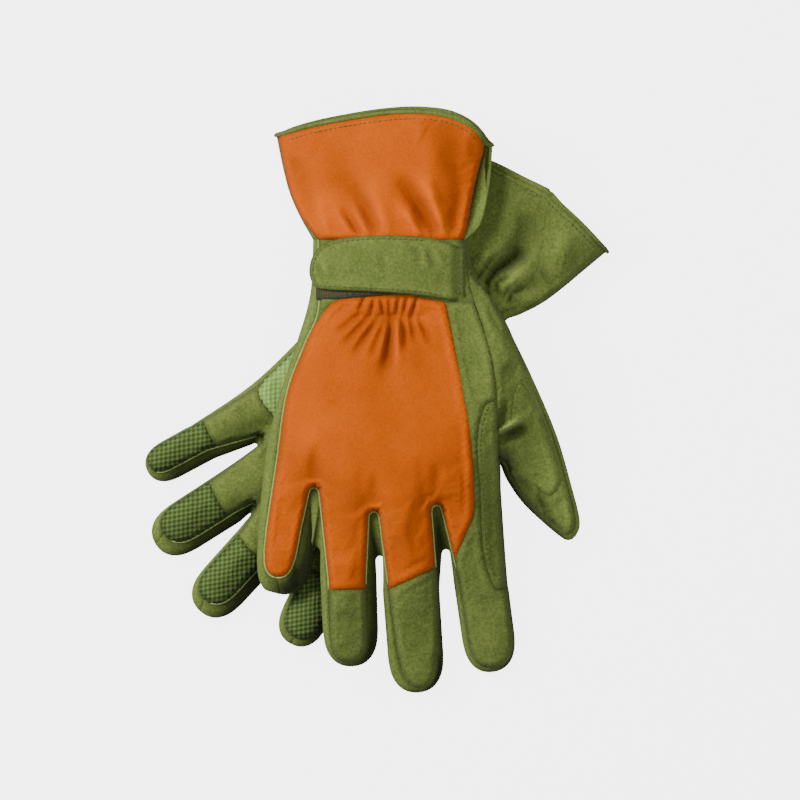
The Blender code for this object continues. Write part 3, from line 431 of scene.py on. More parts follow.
# Cloth simulation
SETTLE_FRAMES = 16
SETTLE_CAP = 1.8  # how far a point may move
SETTLE_SHARE = 0.65  # how much of its way it moves
CLOTH = {
    "quality": 5, "mass": 0.25, "tension_stiffness": 12, "compression_stiffness": 12,
    "shear_stiffness": 4, "bending_stiffness": 0.15, "shrink_min": -0.02, "shrink_max": -0.02,
    "use_pressure": True, "uniform_pressure_force": 2.5, "vertex_group_mass": "held",
}

# Studio
FLOOR = {"Base Color": (0.30, 0.30, 0.31, 1), "Roughness": 1, "Specular IOR Level": 0,
         "Emission Color": (0.985, 0.955, 1, 1)}
FLOOR_GLOW = (4.6, 0.12)  # how much brighter the floor looks to the camera, and what it glows with
SKY = {"Color": (0.95, 0.97, 1, 1), "Strength": 0.42}
# Energy, size and place of each lamp
LIGHTS = {"key": (29, 0.5, (-0.80, 0.45, 0.92)), "fill": (8, 1, (0.55, -0.15, 1.1))}
CAMERA = (0.010339, -0.000243, 1.5)
CAMERA_WIDTH = 0.368


def smooth(x, low, high):
    """0 below low and 1 above high, with a smooth step between them."""
    t = np.clip((x - low) / (high - low), 0.0, 1.0)
    return t * t * (3 - 2 * t)


def curve(points, steps=8):
    """Catmull-Rom curve through points, with steps pieces between each pair."""
    p = [np.array(q, float) for q in points]
    p = [2 * p[0] - p[1]] + p + [2 * p[-1] - p[-2]]
    made = []
    for a, b, c, d in zip(p, p[1:], p[2:], p[3:]):
        for t in np.arange(steps) / steps:
            made.append(0.5 * (2 * b + (c - a) * t + (2 * a - 5 * b + 4 * c - d) * t * t
                               + (3 * b - 3 * c + d - a) * t ** 3))
    return made + [p[-2]]


def length_along(line):
    """How far along a line each of its points lies."""
    return np.concatenate([[0.0], np.cumsum(np.linalg.norm(np.diff(line, axis=0), axis=1))])


def resample(line, count):
    """count + 1 points spaced evenly along a line."""
    line = np.asarray(line, float)
    at = length_along(line)
    want = np.linspace(0, at[-1], count + 1)
    return np.column_stack([np.interp(want, at, line[:, k]) for k in range(line.shape[1])])


def evenly(line, step=EDGE_STEP):
    """Points about a step apart along a line, which keeps its ends."""
    return resample(line, max(2, round(length_along(np.asarray(line, float))[-1] / step)))


def ring(points, step=EDGE_STEP):
    """A closed smooth loop through points, without its first point repeated."""
    p = list(points)
    line = curve(p[-3:] + p + p[:3])[16:-16]
    away = [np.linalg.norm(q - np.array(p[0])) for q in line]
    start = np.argmin(away[:24])
    at = len(line) - 1 - np.argmin(away[::-1][:24])
    return evenly(line[start:at + 1], step)[:-1]


def line_normals(line):
    """Unit normals to the left of an open line's way."""
    step = np.gradient(line[:, :2], axis=0)
    step /= np.linalg.norm(step, axis=1)[:, None] + 1e-12
    return np.stack([-step[:, 1], step[:, 0]], axis=1)


def inside(points, loop):
    """Which points lie inside a closed loop, by the even-odd rule."""
    x, y = points[:, :1], points[:, 1:2]
    a, b = loop, np.roll(loop, -1, axis=0)
    crosses = (a[:, 1] > y) != (b[:, 1] > y)
    at = a[:, 0] + (y - a[:, 1]) * (b[:, 0] - a[:, 0]) / (b[:, 1] - a[:, 1] + 1e-12)
    return (crosses & (x < at)).sum(axis=1) % 2 == 1


def segment_distance(points, a, b):
    """Distance from each point to the nearest of the pieces from a to b."""
    d = b - a
    best = np.full(len(points), 1e9)
    for at in range(0, len(points), CHUNK):
        part = points[at:at + CHUNK, None, :]
        t = np.clip(((part - a) * d).sum(-1) / ((d * d).sum(-1) + 1e-12), 0, 1)
        best[at:at + CHUNK] = np.linalg.norm(part - a - t[..., None] * d, axis=-1).min(axis=1)
    return best


def distance_to(points, line):
    """Distance from each point to an open line."""
    return segment_distance(points, line[:-1], line[1:])


def near(line, p):
    """The point of a line that is nearest to p."""
    return line[np.argmin(np.linalg.norm(line - p, axis=1))]


def area_sign(line):
    """Positive where a loop runs anticlockwise."""
    x, y = line[:, 0], line[:, 1]
    return np.sum(x * np.roll(y, -1) - np.roll(x, -1) * y)


def bell(x, middle, width):
    """A bump of height 1 round the middle."""
    return np.exp(-((x - middle) / width) ** 2)


def uneven(p, layers):
    """The sum of several layers of noise, each (height, size, seed)."""
    return sum(height * value_noise(p, size, seed) for height, size, seed in layers)


def value_noise(p, size, seed):
    """Smooth noise from -1 to 1 at points p, with lumps of the given size."""
    rng = np.random.default_rng(seed)
    table = rng.uniform(-1, 1, (64, 64))
    q = p[:, :2] / size + 1000.0
    cell = np.floor(q).astype(int)
    f = q - cell
    f = f * f * (3 - 2 * f)
    i, j = cell[:, 0] % 64, cell[:, 1] % 64
    i1, j1 = (i + 1) % 64, (j + 1) % 64
    top = table[i, j] * (1 - f[:, 0]) + table[i1, j] * f[:, 0]
    low = table[i, j1] * (1 - f[:, 0]) + table[i1, j1] * f[:, 0]
    return top * (1 - f[:, 1]) + low * f[:, 1]


class Glove:
    """One glove: its place, its outlines and the height of its sheets."""

    def __init__(self, side):
        self.side = side
        self.palm_up = side == "left"
        self.facing = -1.0 if self.palm_up else 1.0   # which way the back of the hand looks
        self.origin = np.array(ORIGIN[side])
        turn = math.radians(POINTS[side])
        self.axis_v = np.array((math.cos(turn), math.sin(turn)))
        self.axis_u = np.array((-self.axis_v[1], self.axis_v[0]))
        self.back_level, self.palm_level = ("lower", "upper") if self.palm_up else ("upper", "lower")
        low, high = self.rim_parts("lower"), self.rim_parts("upper")
        self.rim_names = list(low)
        self.rims = {"lower": {}, "upper": {}}
        for name in low:
            count = max(4, round(length_along(np.array(low[name]))[-1] / EDGE_STEP))
            for level, lines in (("lower", low), ("upper", high)):
                self.rims[level][name] = resample(lines[name], count)
        # the lower outline is where the side strips stand out furthest; the lower sheet ends inside it
        whole = self.whole_rim("lower")
        self.outward = line_normals(whole)
        self.silhouette = whole + self.outward * LOOSE
        moved = whole - self.outward * TUCK
        for name, part in self.stretches():
            self.rims["lower"][name] = moved[part]

    def stretches(self):
        """The named stretches of the rim, each with the slice of the rim's points that it takes up."""
        at = 0
        for name in self.rim_names:
            count = len(self.rims["upper"][name])
            yield name, slice(at, at + count)
            at += count - 1

    def finger(self, level, name):
        """A finger's root, its ways along and across, its length, half width and taper."""
        root, tip, half, *taper = FINGER_LINES[self.side][level][name]
        root, tip = np.array(root), np.array(tip)
        length = np.linalg.norm(tip - root)
        along = (tip - root) / length
        return root, along, np.array((along[1], -along[0])), length, half, taper[0] if taper else FINGER_TAPER

    def side_line(self, level, name, hand):
        """Points up one side of a finger to its tip; hand is +1 on the thumb side."""
        root, along, across, length, half, taper = self.finger(level, name)
        round_from = length - TIP_ROUND * half
        made = []
        for at in np.linspace(SIDE_FROM[self.side] * round_from, round_from, 5):
            made.append(root + along * at + across * hand * half * (1 - taper * at / length))
        for t in np.linspace(0, math.pi / 2, 13)[1:]:
            x = math.sin(t)
            width = half * (1 - taper) * max(0.0, 1 - x ** TIP_POWER) ** (1 / TIP_POWER)
            made.append(root + along * (round_from + TIP_ROUND * half * x) + across * hand * width)
        return made

    def finger_cut(self, level, name, shares):
        """The two ends of a seam across a finger, a little past its sides."""
        root, along, across, length, half, taper = self.finger(level, name)
        ends = []
        for hand, share in zip((-1, 1), shares):
            ends.append(root + along * share * length + across * hand * half * (1 - taper * share))
        return ends

    def thumb_point(self, p, level):
        """A point of the thumb's outline; the upper sheet's is nearer to the thumb's middle."""
        p = np.array(p, float)
        if level == "lower":
            return p
        u, back = THUMB_MIDDLE
        middle = np.array((u + THUMB_LEAN[self.side] * p[1], p[1] - back))
        return p + (middle - p) / np.linalg.norm(middle - p) * THUMB_INSET * smooth(p[1], *THUMB_INSET_FADE)

    def rim_parts(self, level):
        """The sheet's free edge from hem to hem, in named stretches."""
        side = PINKY_SIDE[self.side][level]
        hem = self.hem(level)
        parts = {"cuff_pinky": curve([hem[0], *CUFF_PINKY[self.side], side[0]])}
        up = self.side_line(level, "pinky", -1)
        parts["pinky"] = curve(list(side) + up[:5])[:-1] + up[4:]
        for k, name in enumerate(SLOTS_BETWEEN):
            down = self.side_line(level, FINGERS[k], 1)[::-1]
            up = self.side_line(level, FINGERS[k + 1], -1)
            u0, v0, r = SLOTS[self.side][level][k]
            arc = [np.array((u0 + r * math.cos(t), v0 + r + r * math.sin(t)))
                   for t in np.linspace(math.pi, 2 * math.pi, 9)]
            parts[name] = down + arc + up
        web = WEB[self.side]
        down = self.side_line(level, "index", 1)[::-1]
        hand = [np.array(p) for p in (*HAND_EDGE[::-1], web)]
        parts["index"] = down[:-5] + curve(down[-5:] + hand)
        inner, tip, outer = THUMB_INNER[self.side], THUMB_TIP[self.side], THUMB_OUTER[self.side]
        run = inner[::-1] + tip[::-1] + outer[::-1]
        run = [self.thumb_point(p, level) for p in run[:-1]]
        parts["thumb"] = curve([np.array(web)] + run + [np.array(outer[0])])
        parts["cuff_thumb"] = curve([outer[0], *CUFF_THUMB[self.side][level], hem[-1]])
        return parts

    def hem(self, level):
        """The hem's control points, from the pinky side to the thumb side."""
        line = np.array(HEM[self.side])
        if level == self.palm_level:
            line[:, 1] -= HEM_PALM_EXTRA * np.sin(np.linspace(*HEM_BOW, len(line)))
            line[-1, 0] += PALM_CUFF_EXTRA[self.side]
        return line

    def whole_rim(self, level):
        """The sheet's free edge as one line."""
        rows = [self.rims[level][name] for name in self.rim_names]
        return np.vstack([rows[0]] + [r[1:] for r in rows[1:]])

    def wrist(self, p):
        """Height of the back of the wrist, which the strap and its patches lie against."""
        if self.palm_up:
            return self.under(p)
        across = p[:, 0] - WRIST_MIDDLE
        half = np.where(across < 0, WRIST_HALF_PINKY, WRIST_HALF_THUMB)
        return WRIST_EDGE + WRIST_CROWN * (1 - (across / half) ** 2)

    def under(self, p):
        """Height of the glove's underside: the left one's strap lifts its wrist off the table."""
        if not self.palm_up:
            return np.zeros(len(p))
        return STRAP_LIFT * (1 - smooth(np.abs(p[:, 1]), *STRAP_LIFT_FADE))

    def edge(self, p):
        """Height of the upper sheet right at its edge."""
        u, v = p[:, 0], p[:, 1]
        past_web = smooth(v, *THUMB_END) * (u < THUMB_INNER_U)
        thumb = smooth(u, *THUMB_FADE) * (v < THUMB_END[1]) * (1 - past_web)
        return np.interp(v, EDGE_V, EDGE_W) * (1 - thumb) + THUMB_EDGE_W * thumb + self.under(p)

    def on_ground(self, p):
        """World x and y of hand-frame points."""
        return self.origin + p[:, :1] * self.axis_u + p[:, 1:2] * self.axis_v

    def world(self, p, w):
        """World millimetres of hand-frame points p at heights w."""
        ground = self.on_ground(p)
        base = np.zeros(len(p)) if self.palm_up else stack_rise(ground)
        return np.column_stack([ground, base + w])


def stack_rise(ground):
    """Height of the right glove's underside: it lies across the left one and sinks to the table beside it."""
    left = GLOVES["left"]
    r = ground - left.origin
    across = np.abs(r @ left.axis_u)
    along = r @ left.axis_v
    top = STACK_HEIGHT + (STACK_FINGERS - STACK_HEIGHT) * smooth(along, *STACK_FADE)
    return TABLE_CLEAR + (top - TABLE_CLEAR) * (1 - smooth(across, STACK_FLAT, STACK_REACH))


class Plan:
    """Lines drawn on a sheet, and the triangles between them, named by the panel they belong to."""

    def __init__(self):
        self.points = []
        self.edges = []

    def line(self, line, closed=False):
        """Adds a line. Its points join points of earlier lines that are closer than JOIN."""
        ids = []
        old = np.array(self.points) if self.points else np.zeros((0, 2))
        for q in np.asarray(line, float):
            if len(old):
                gap = np.linalg.norm(old - q, axis=1)
                near = int(np.argmin(gap))
                if gap[near] < JOIN:
                    ids.append(near)
                    continue
            ids.append(len(self.points))
            self.points.append(q)
        pairs = list(zip(ids, ids[1:] + (ids[:1] if closed else [])))
        self.edges += [(a, b) for a, b in pairs if a != b]
        return ids

    def fill(self, outline, spacing, seeds):
        """Triangulates inside an outline.

        Returns the points, the faces, each face's panel, where each line's points went, and the lines' edges.
        """
        lines = np.array([(self.points[a], self.points[b]) for a, b in self.edges])
        low, high = outline.min(axis=0), outline.max(axis=0)
        grid = []
        for row, v in enumerate(np.arange(low[1], high[1], spacing * ROW_SHARE)):
            for u in np.arange(low[0] + spacing * 0.5 * (row % 2), high[0], spacing):
                grid.append((u, v))
        grid = np.array(grid)
        grid = grid[inside(grid, outline)]
        grid = grid[segment_distance(grid, lines[:, 0], lines[:, 1]) > CLEAR_SHARE * spacing]
        given = [tuple(map(float, q)) for q in [*self.points, *grid]]
        made, edges, faces, from_points, from_edges, _ = delaunay_2d_cdt(given, self.edges, [], 0, 1e-4, True)
        made = np.array([tuple(q) for q in made])
        place = {}
        for i, sources in enumerate(from_points):
            for s in sources:
                place[s] = i
        walls = {tuple(sorted(e)) for e, sources in zip(edges, from_edges) if sources}
        faces = [tuple(f) for f in faces]
        panel = self.flood(made, faces, walls, seeds)
        kept = [n for n in range(len(faces)) if panel[n]]
        up = []
        for n in kept:
            up.append(faces[n] if area_sign(made[list(faces[n])]) < 0 else faces[n][::-1])
        return made, up, [panel[n] for n in kept], place, walls

    @staticmethod
    def flood(made, faces, walls, seeds):
        """Names each face by the seed that reaches it without crossing a wall."""
        beside = {}
        for n, f in enumerate(faces):
            for pair in zip(f, f[1:] + f[:1]):
                key = tuple(sorted(pair))
                if key not in walls:
                    beside.setdefault(key, []).append(n)
        across = [[] for _ in faces]
        for pair in beside.values():
            if len(pair) == 2:
                across[pair[0]].append(pair[1])
                across[pair[1]].append(pair[0])
        middle = made[np.array(faces)].mean(axis=1)
        panel = [None] * len(faces)
        for name, seed in seeds.items():
            start = int(np.argmin(np.linalg.norm(middle - np.array(seed), axis=1)))
            if panel[start] is not None:
                raise ValueError(f"{name} shares a region with {panel[start]}")
            stack = [start]
            panel[start] = name
            while stack:
                for n in across[stack.pop()]:
                    if panel[n] is None:
                        panel[n] = name
                        stack.append(n)
        return panel


def arch(points, faces, fixed):
    """How high cloth would stand over each point, blown up a little and held down at the fixed points.

    It solves for a soft sheet on the mesh by conjugate gradients.
    """
    f = np.array(faces)
    n = len(points)
    p = points[f]
    rows, cols, weights = [], [], []
    areas = np.zeros(n)
    e1, e2 = p[:, 1] - p[:, 0], p[:, 2] - p[:, 0]
    size = 0.5 * np.abs(e1[:, 0] * e2[:, 1] - e1[:, 1] * e2[:, 0])
    for k in range(3):
        a, b, c = f[:, k], f[:, (k + 1) % 3], f[:, (k + 2) % 3]
        x, y = points[a] - points[c], points[b] - points[c]
        cot = (x * y).sum(1) / (np.abs(x[:, 0] * y[:, 1] - x[:, 1] * y[:, 0]) + 1e-9)
        cot = np.clip(cot, -0.5, 4.0)
        rows += [a, b]
        cols += [b, a]
        weights += [cot / 2, cot / 2]
        areas += np.bincount(a, size / 3, n)
    rows, cols, weights = map(np.concatenate, (rows, cols, weights))
    diagonal = np.bincount(rows, weights, n) + areas / SOFT_REACH ** 2
    free = np.ones(n)
    free[list(fixed)] = 0.0

    def apply(x):
        return (diagonal * x - np.bincount(rows, weights * x[cols], n)) * free

    x = np.zeros(n)
    r = areas * free
    scale = 1 / np.maximum(diagonal, 1e-6)
    z = scale * r
    d = z.copy()
    rz = r @ z
    for _ in range(ARCH_STEPS):
        ad = apply(d)
        step = rz / (d @ ad + 1e-30)
        x += step * d
        r -= step * ad
        z = scale * r
        new = r @ z
        d = z + new / (rz + 1e-30) * d
        rz = new
        if rz < 1e-10:
            break
    return np.maximum(2 * x, 0.0)


GLOVES = {side: Glove(side) for side in ("left", "right")}


def across(rim, ends, forward):
    """A seam between the points of the rim nearest to its two ends, bowed forward in its middle."""
    a, b = ends
    return evenly(curve([near(rim, a), (a + b) / 2 + forward, near(rim, b)]))


def back_seams(glove, level, plan, rim, seeds):
    """The seams of a sheet that is the back of the hand."""
    side = glove.rims[level]["pinky"]
    start = side[np.argmin(np.abs(side[:len(side) // 2, 1] - BACK_CORNER_V))]
    plan.line(evenly(curve([start, *BACK_CORNER]) + [BACK_SEAM_END]))
    point = glove.finger_cut(level, "index", (INDEX_POINT, INDEX_POINT))[0]
    plan.line(evenly(curve([*BACK_THUMB_EDGE, near(rim, point)])))
    for name, shares in TIP_CUT.items():
        root, along, *_ = glove.finger(level, name)
        plan.line(across(rim, glove.finger_cut(level, name, shares), along * 0.8))
        seeds[name + "_tip_back"] = tuple(root + along * TIP_SEED)
    end = glove.finger_cut(level, "index", (INDEX_PATCH_END,) * 2)[1]
    plan.line(evenly(curve([*INDEX_PATCH, near(rim, end)])))
    plan.line(ring(THUMB_PATCH[glove.side]), closed=True)
    seeds["thumb_patch"] = tuple(np.mean(THUMB_PATCH[glove.side], axis=0))


def palm_seams(glove, level, plan, rim, seeds):
    """The seams of a sheet that is the palm."""
    plan.line(ring(PALM_GRIP[glove.side]), closed=True)
    seeds["palm_grip"] = tuple(np.mean(PALM_GRIP[glove.side], axis=0))
    for name in FINGERS:
        root, along, _, length, _, _ = glove.finger(level, name)
        plan.line(across(rim, glove.finger_cut(level, name, (GRIP_CUT[glove.side][name],) * 2), along))
        seeds[name + "_grip"] = tuple(root + along * length * GRIP_SEED)


def plan_level(glove, level):
    """Draws one sheet's outline and seams, and fills it."""
    plan = Plan()
    rim = glove.whole_rim(level)
    plan.line(rim)
    hem = evenly(curve([rim[0], *glove.hem(level)[1:-1], rim[-1]]))
    hem_ids = plan.line(hem)
    plan.line(evenly([glove.rims[level]["pinky"][0], glove.rims[level]["thumb"][-1]]))
    plan.line(evenly(curve(THUMB_SEAM[glove.side])))
    back = level == glove.back_level
    seeds = dict(BACK_SEEDS if back else PALM_SEEDS)
    (back_seams if back else palm_seams)(glove, level, plan, rim, seeds)
    spacing = UPPER_GRID if level == "upper" else LOWER_GRID
    outline = np.vstack([rim, hem[::-1][1:-1]])
    points, faces, panels, place, walls = plan.fill(outline, spacing, seeds)
    return dict(points=points, faces=faces, panels=panels, rim=[place[i] for i in range(len(rim))],
                rim_line=rim, hem=[place[i] for i in hem_ids], walls=walls)


def crease(p, a, b, width, height):
    """A fold from a to b: it widens on its way and fades out at both ends."""
    a, b = np.array(a), np.array(b)
    d = b - a
    t = np.clip(((p - a) @ d) / (d @ d), 0, 1)
    off = np.linalg.norm(p - a - t[:, None] * d, axis=1) / (width * (0.7 + 0.6 * t))
    fade = np.sin(np.pi * np.clip(t * 0.9 + 0.08, 0, 1)) ** 0.5
    return height * np.exp(-off ** 2) * fade


def seam_distance(points, walls):
    """Distance from each point to the nearest of the lines drawn on its sheet."""
    pairs = np.array(sorted(walls))
    return segment_distance(points, points[pairs[:, 0]], points[pairs[:, 1]])


def folds(lines, p):
    """The sum of several folds."""
    total = np.zeros(len(p))
    for line in lines:
        total += crease(p, *line)
    return total


def gathers(glove, p):
    """Pleats, and the cloth puffed up between them on both sides of the elastic's line."""
    u, half, v, puff = PLEAT_LINE[glove.side]
    span = 1 - smooth(np.abs(p[:, 0] - u), half - 4.0, half + 2.0)
    d = p[:, 1] - v
    swell = puff * bell(np.abs(d), *PUFF_BESIDE) - bell(d, 0.0, ELASTIC_WIDTH)
    return PLEAT_SIZE * folds(PLEATS[glove.side], p) + span * swell


def details(glove, p):
    """Folds and unevenness of the sheet that faces up."""
    return FOLD_SIZE * folds(CREASES[glove.side], p) + uneven(p, [UNEVEN[glove.side]])


def painted_fold_shading(side, p):
    """Painted shade in the valleys of the folds and pleats, painted light on their ridges, and the painted
    shade and light of SHADES, for the cloth that faces up.
    """
    fold = FOLD_PAINTED_SHADING * folds(CREASES[side], p) + PLEAT_PAINTED_SHADING * folds(PLEATS[side], p)
    return np.exp(folds(SHADES[side], p) + fold)


def refine(glove, obj, rim_line):
    """Divides an upper panel once, and adds the folds too small for its first mesh."""
    points = divided(obj)
    ground = points[:, :2] / MM - glove.origin
    p = np.column_stack([ground @ glove.axis_u, ground @ glove.axis_v])
    small = gathers(glove, p) + uneven(p, FINE_UNEVEN)
    points[:, 2] += small * smooth(distance_to(p, rim_line), 0.0, FINE_FADE) * MM
    tone = read(obj.data.attributes["tone"].data, "value")
    # painted shade in the folds' valleys and painted light on their ridges
    store(obj.data, "tone", tone * painted_fold_shading(glove.side, p))
    move_to(obj.data, points)


def upper_heights(glove, high, seam):
    """Heights of the upper sheet: arched over each panel, with its folds, and pinched at the seams."""
    p = high["points"]
    lift = arch(p, high["faces"], high["rim"])
    arched = np.power(lift, ROUNDING) / ROUNDING_AT ** (ROUNDING - 0.5)
    crown = np.interp(p[:, 1], CROWN_V, CROWN)
    if glove.palm_up:
        rounder, low, full = LEFT_FINGER_CROWN
        crown = crown * (1 + rounder * smooth(p[:, 1], low, full))
    w = glove.edge(p) + crown * arched
    w = w + details(glove, p) * smooth(distance_to(p, high["rim_line"]), 0.0, EDGE_FADE)
    (pinch, width), (puff, away, spread) = SEAM_PINCH, SEAM_PUFF
    w = w - pinch * bell(seam, 0.0, width) + puff * bell(seam, away, spread)
    if not glove.palm_up:
        strapped = smooth(p[:, 1], *UNDER_STRAP[:2]) * (1 - smooth(p[:, 1], *UNDER_STRAP[2:]))
        w = w - np.maximum(w - glove.wrist(p) - STRAP_GAP, 0.0) * strapped
    return w


def strip_light(glove, far):
    """How the side strips face the light, and which are the gusset. It also evens out far in the slots."""
    facing = glove.outward @ np.array((glove.axis_u, glove.axis_v))
    lit = facing @ np.array(LIGHT_FROM)
    gusset = np.zeros(len(lit))
    for name, part in glove.stretches():
        if name in SLOTS_BETWEEN:
            part = slice(part.start, part.stop - 1)
            count = part.stop - part.start
            lit[part] *= np.where(lit[part] < 0, BETWEEN_LIT, 1.0)
            padded = np.pad(far[part, 0], SLOT_SMOOTH, mode="edge")
            far[part, 0] = np.min([padded[k:k + count] for k in range(2 * SLOT_SMOOTH + 1)], axis=0)
        elif not glove.palm_up and name == "thumb":
            part = slice(part.start - 1, part.stop - 1)
            lit[part] = -facing[part, 0] * THUMB_LIT
        elif not glove.palm_up and name == "cuff_thumb":
            gusset[part] = 1.0
            lit[part] = 0.0
    return lit, gusset


def strip_rows(glove, high, low, w_top, w_bottom):
    """The points, cloth coordinates and tone of each row of a side strip between the two sheets."""
    high_line, low_line = high["rim_line"], low["rim_line"]
    along = length_along(low_line)
    reach = np.abs(((glove.silhouette - high_line) * glove.outward).sum(axis=1))
    far = smooth(reach, *FAR)[:, None]
    lit, gusset = strip_light(glove, far)
    for k in range(1, STRIP_ROWS):
        t = k / STRIP_ROWS
        if t <= OUT_AT:
            side = high_line + (glove.silhouette - high_line) * math.sin(math.pi / 2 * t / OUT_AT)
        else:
            g = ((t - OUT_AT) / (1 - OUT_AT)) ** 2
            side = glove.silhouette * (1 - g) + low_line * g
        steep = high_line + (low_line - high_line) * t ** STEEP_POWER
        line = side * (1 - far) + steep * far
        # painted light on strips that face the light, painted shade on those that face away, between the
        # fingers and far out, and painted light on the gusset
        shade = (STRIP_TONE + STRIP_LIT * np.maximum(lit, 0.0) * (1 - t)
                 - STRIP_SHADED * np.maximum(-lit, 0.0) * min(1.0, 4 * t)
                 - STRIP_FAR_SHADE * far[:, 0] * (1 - gusset) * math.sin(math.pi * t) + GUSSET_PAINTED_LIGHT * gusset)
        flat = np.column_stack([along, np.full(len(along), t * STRIP_WIDTH)])
        yield glove.world(line, w_top * (1 - t) + w_bottom * t), flat, np.maximum(shade, DARKEST)


def build_master(glove):
    """The whole glove as one welded surface: two sheets and the strips between them."""
    low, high = plan_level(glove, "lower"), plan_level(glove, "upper")
    p, q = high["points"], low["points"]
    seam = seam_distance(p, high["walls"])
    further, width = FAINT
    seam = seam + further * bell(distance_to(p, np.array(FAINT_SEAM[glove.side])), 0.0, width)
    w = upper_heights(glove, high, seam)
    away = distance_to(q, low["rim_line"])
    w_low = glove.under(q) + LOWER_LIFT + CURL * bell(away, 0.0, CURL_REACH)
    world = [glove.world(p, w), glove.world(q, w_low)]
    uv = [p, q]
    # painted shade in the seams and across the fingers, painted light beside the seams
    tones = [tone_of(p, seam, 1.0) * finger_shade(glove, p), tone_of(q, away, LOWER_TONE)]
    faces = [tuple(f) for f in high["faces"]] + [tuple(len(p) + i for i in f[::-1]) for f in low["faces"]]
    names = high["panels"] + low["panels"]
    pinned = set(high["rim"]) | {i for pair in high["walls"] for i in pair}
    rows = [np.array(high["rim"])]
    offset = len(p) + len(q)
    pinned |= set(range(len(p), offset))
    for points, flat, tone in strip_rows(glove, high, low, w[high["rim"]], w_low[low["rim"]]):
        world.append(points)
        uv.append(flat)
        tones.append(tone)
        rows.append(np.arange(len(points)) + offset)
        offset += len(points)
    pinned |= set(range(len(p) + len(q), offset))
    rows.append(np.array(low["rim"]) + len(p))
    owner = []
    for name in glove.rim_names:
        owner += [STRIP_OF.get(name, name + "_forchette")] * (len(glove.rims["upper"][name]) - 1)
    for a, b in zip(rows, rows[1:]):
        for i, piece in enumerate(owner):
            faces.append((a[i], b[i], b[i + 1], a[i + 1]))
            names.append(piece)
    return dict(world=np.vstack(world), uv=np.vstack(uv), tone=np.concatenate(tones), faces=faces,
                names=names, pinned=pinned, rows=rows, high_faces=len(high["faces"]),
                high_parts=set(high["panels"]), rim_line=high["rim_line"],
                hem_high=high["hem"], hem_low=[i + len(p) for i in low["hem"]])


def finger_shade(glove, p):
    """Painted shade and painted light across the fingers: darker on their thumb side, away from the light,
    and lighter on their pinky side; and painted light on the left wrist.
    """
    best = np.full(len(p), 1e9)
    side = np.zeros(len(p))
    for name in FINGERS:
        root, _, across_finger, _, half, _ = glove.finger("upper", name)
        off = (p - root) @ across_finger / half
        nearer = np.abs(off) < best
        best = np.where(nearer, np.abs(off), best)
        side = np.where(nearer, off, side)
    depth = FINGER_SHADE[glove.side] * smooth(p[:, 1], *FINGERS_FROM) * (best < 1.5)
    # painted light on the left wrist, where the right glove's shadow falls
    lighter, at, width = WRIST_PAINTED_LIGHT
    wrist = lighter * bell(p[:, 1], at, width) if glove.palm_up else 0.0
    return 1 + wrist + depth * (FINGER_PAINTED_LIGHT * smooth(-side, 0.0, 1.0) - smooth(side, -0.2, 0.95))


def tone_of(p, seam, level):
    """How light the cloth is: painted shade in its seams, painted light beside them, and uneven at random."""
    (dark, width), (light, away, spread) = SEAM_PAINTED_SHADE, SEAM_PAINTED_LIGHT
    groove = -dark * bell(seam, 0.0, width) + light * bell(seam, away, spread)
    return level + groove + uneven(p, TONE_UNEVEN)


def read(items, name, width=1):
    """A value of each item as an array, or a row for each item where the value has several numbers."""
    values = np.zeros(len(items) * width)
    items.foreach_get(name, values)
    return values.reshape(-1, width) if width > 1 else values


def corner_points(mesh):
    """Which vertex each corner of each face is at."""
    index = np.zeros(len(mesh.loops), int)
    mesh.loops.foreach_get("vertex_index", index)
    return index


def store(mesh, name, values):
    """Keeps a number for each vertex in the mesh."""
    layer = mesh.attributes.get(name) or mesh.attributes.new(name, "FLOAT", "POINT")
    layer.data.foreach_set("value", np.asarray(values, np.float32))


def move_to(mesh, points):
    """Moves the mesh's vertices."""
    mesh.vertices.foreach_set("co", points.ravel())
    mesh.update()
    mesh.shade_smooth()


def add_mesh(name, points, faces, uv=None, tone=None):
    """A mesh object from world points in millimetres."""
    mesh = bpy.data.meshes.new(name)
    mesh.from_pydata((np.asarray(points) * MM).tolist(), [], [tuple(int(i) for i in f) for f in faces])
    if uv is not None:
        layer = mesh.uv_layers.new(name="cloth")
        layer.data.foreach_set("uv", (np.asarray(uv)[corner_points(mesh)] / UV_MM).astype(np.float32).ravel())
    if tone is not None:
        store(mesh, "tone", tone)
    mesh.shade_smooth()
    mesh.update()
    made = bpy.data.objects.new(name, mesh)
    bpy.context.scene.collection.objects.link(made)
    return made


def apply_modifiers(obj):
    """Replaces the object's mesh with what its modifiers make of it."""
    graph = bpy.context.evaluated_depsgraph_get()
    made = bpy.data.meshes.new_from_object(obj.evaluated_get(graph), depsgraph=graph)
    obj.modifiers.clear()
    obj.data = made


def divided(obj):
    """Divides the faces of an object's mesh in four, and returns its points."""
    mod = obj.modifiers.new("fine", "SUBSURF")
    mod.subdivision_type = "SIMPLE"
    mod.levels = 1
    apply_modifiers(obj)
    return read(obj.data.vertices, "co", 3)


def solidify(obj, thickness):
    """Gives a sheet its thickness, on its inner side."""
    mod = obj.modifiers.new("thickness", "SOLIDIFY")
    mod.thickness = thickness * MM
    mod.offset = -1.0
    mod.use_rim = True
    apply_modifiers(obj)


def finish_piece(obj, parts, material, body=None):
    """Gives a piece its material and colour slot, the CAD nodes it replaces and the body it rides on."""
    obj.data.materials.append(MATERIALS[material])
    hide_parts(*parts)
    if body:
        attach(obj, body)


def finish_trim(obj, material, body):
    """The same for thread and piping, which stand for no CAD node."""
    obj.data.materials.append(MATERIALS[material])
    store(obj.data, "tone", np.ones(len(obj.data.vertices)))
    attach(obj, body)


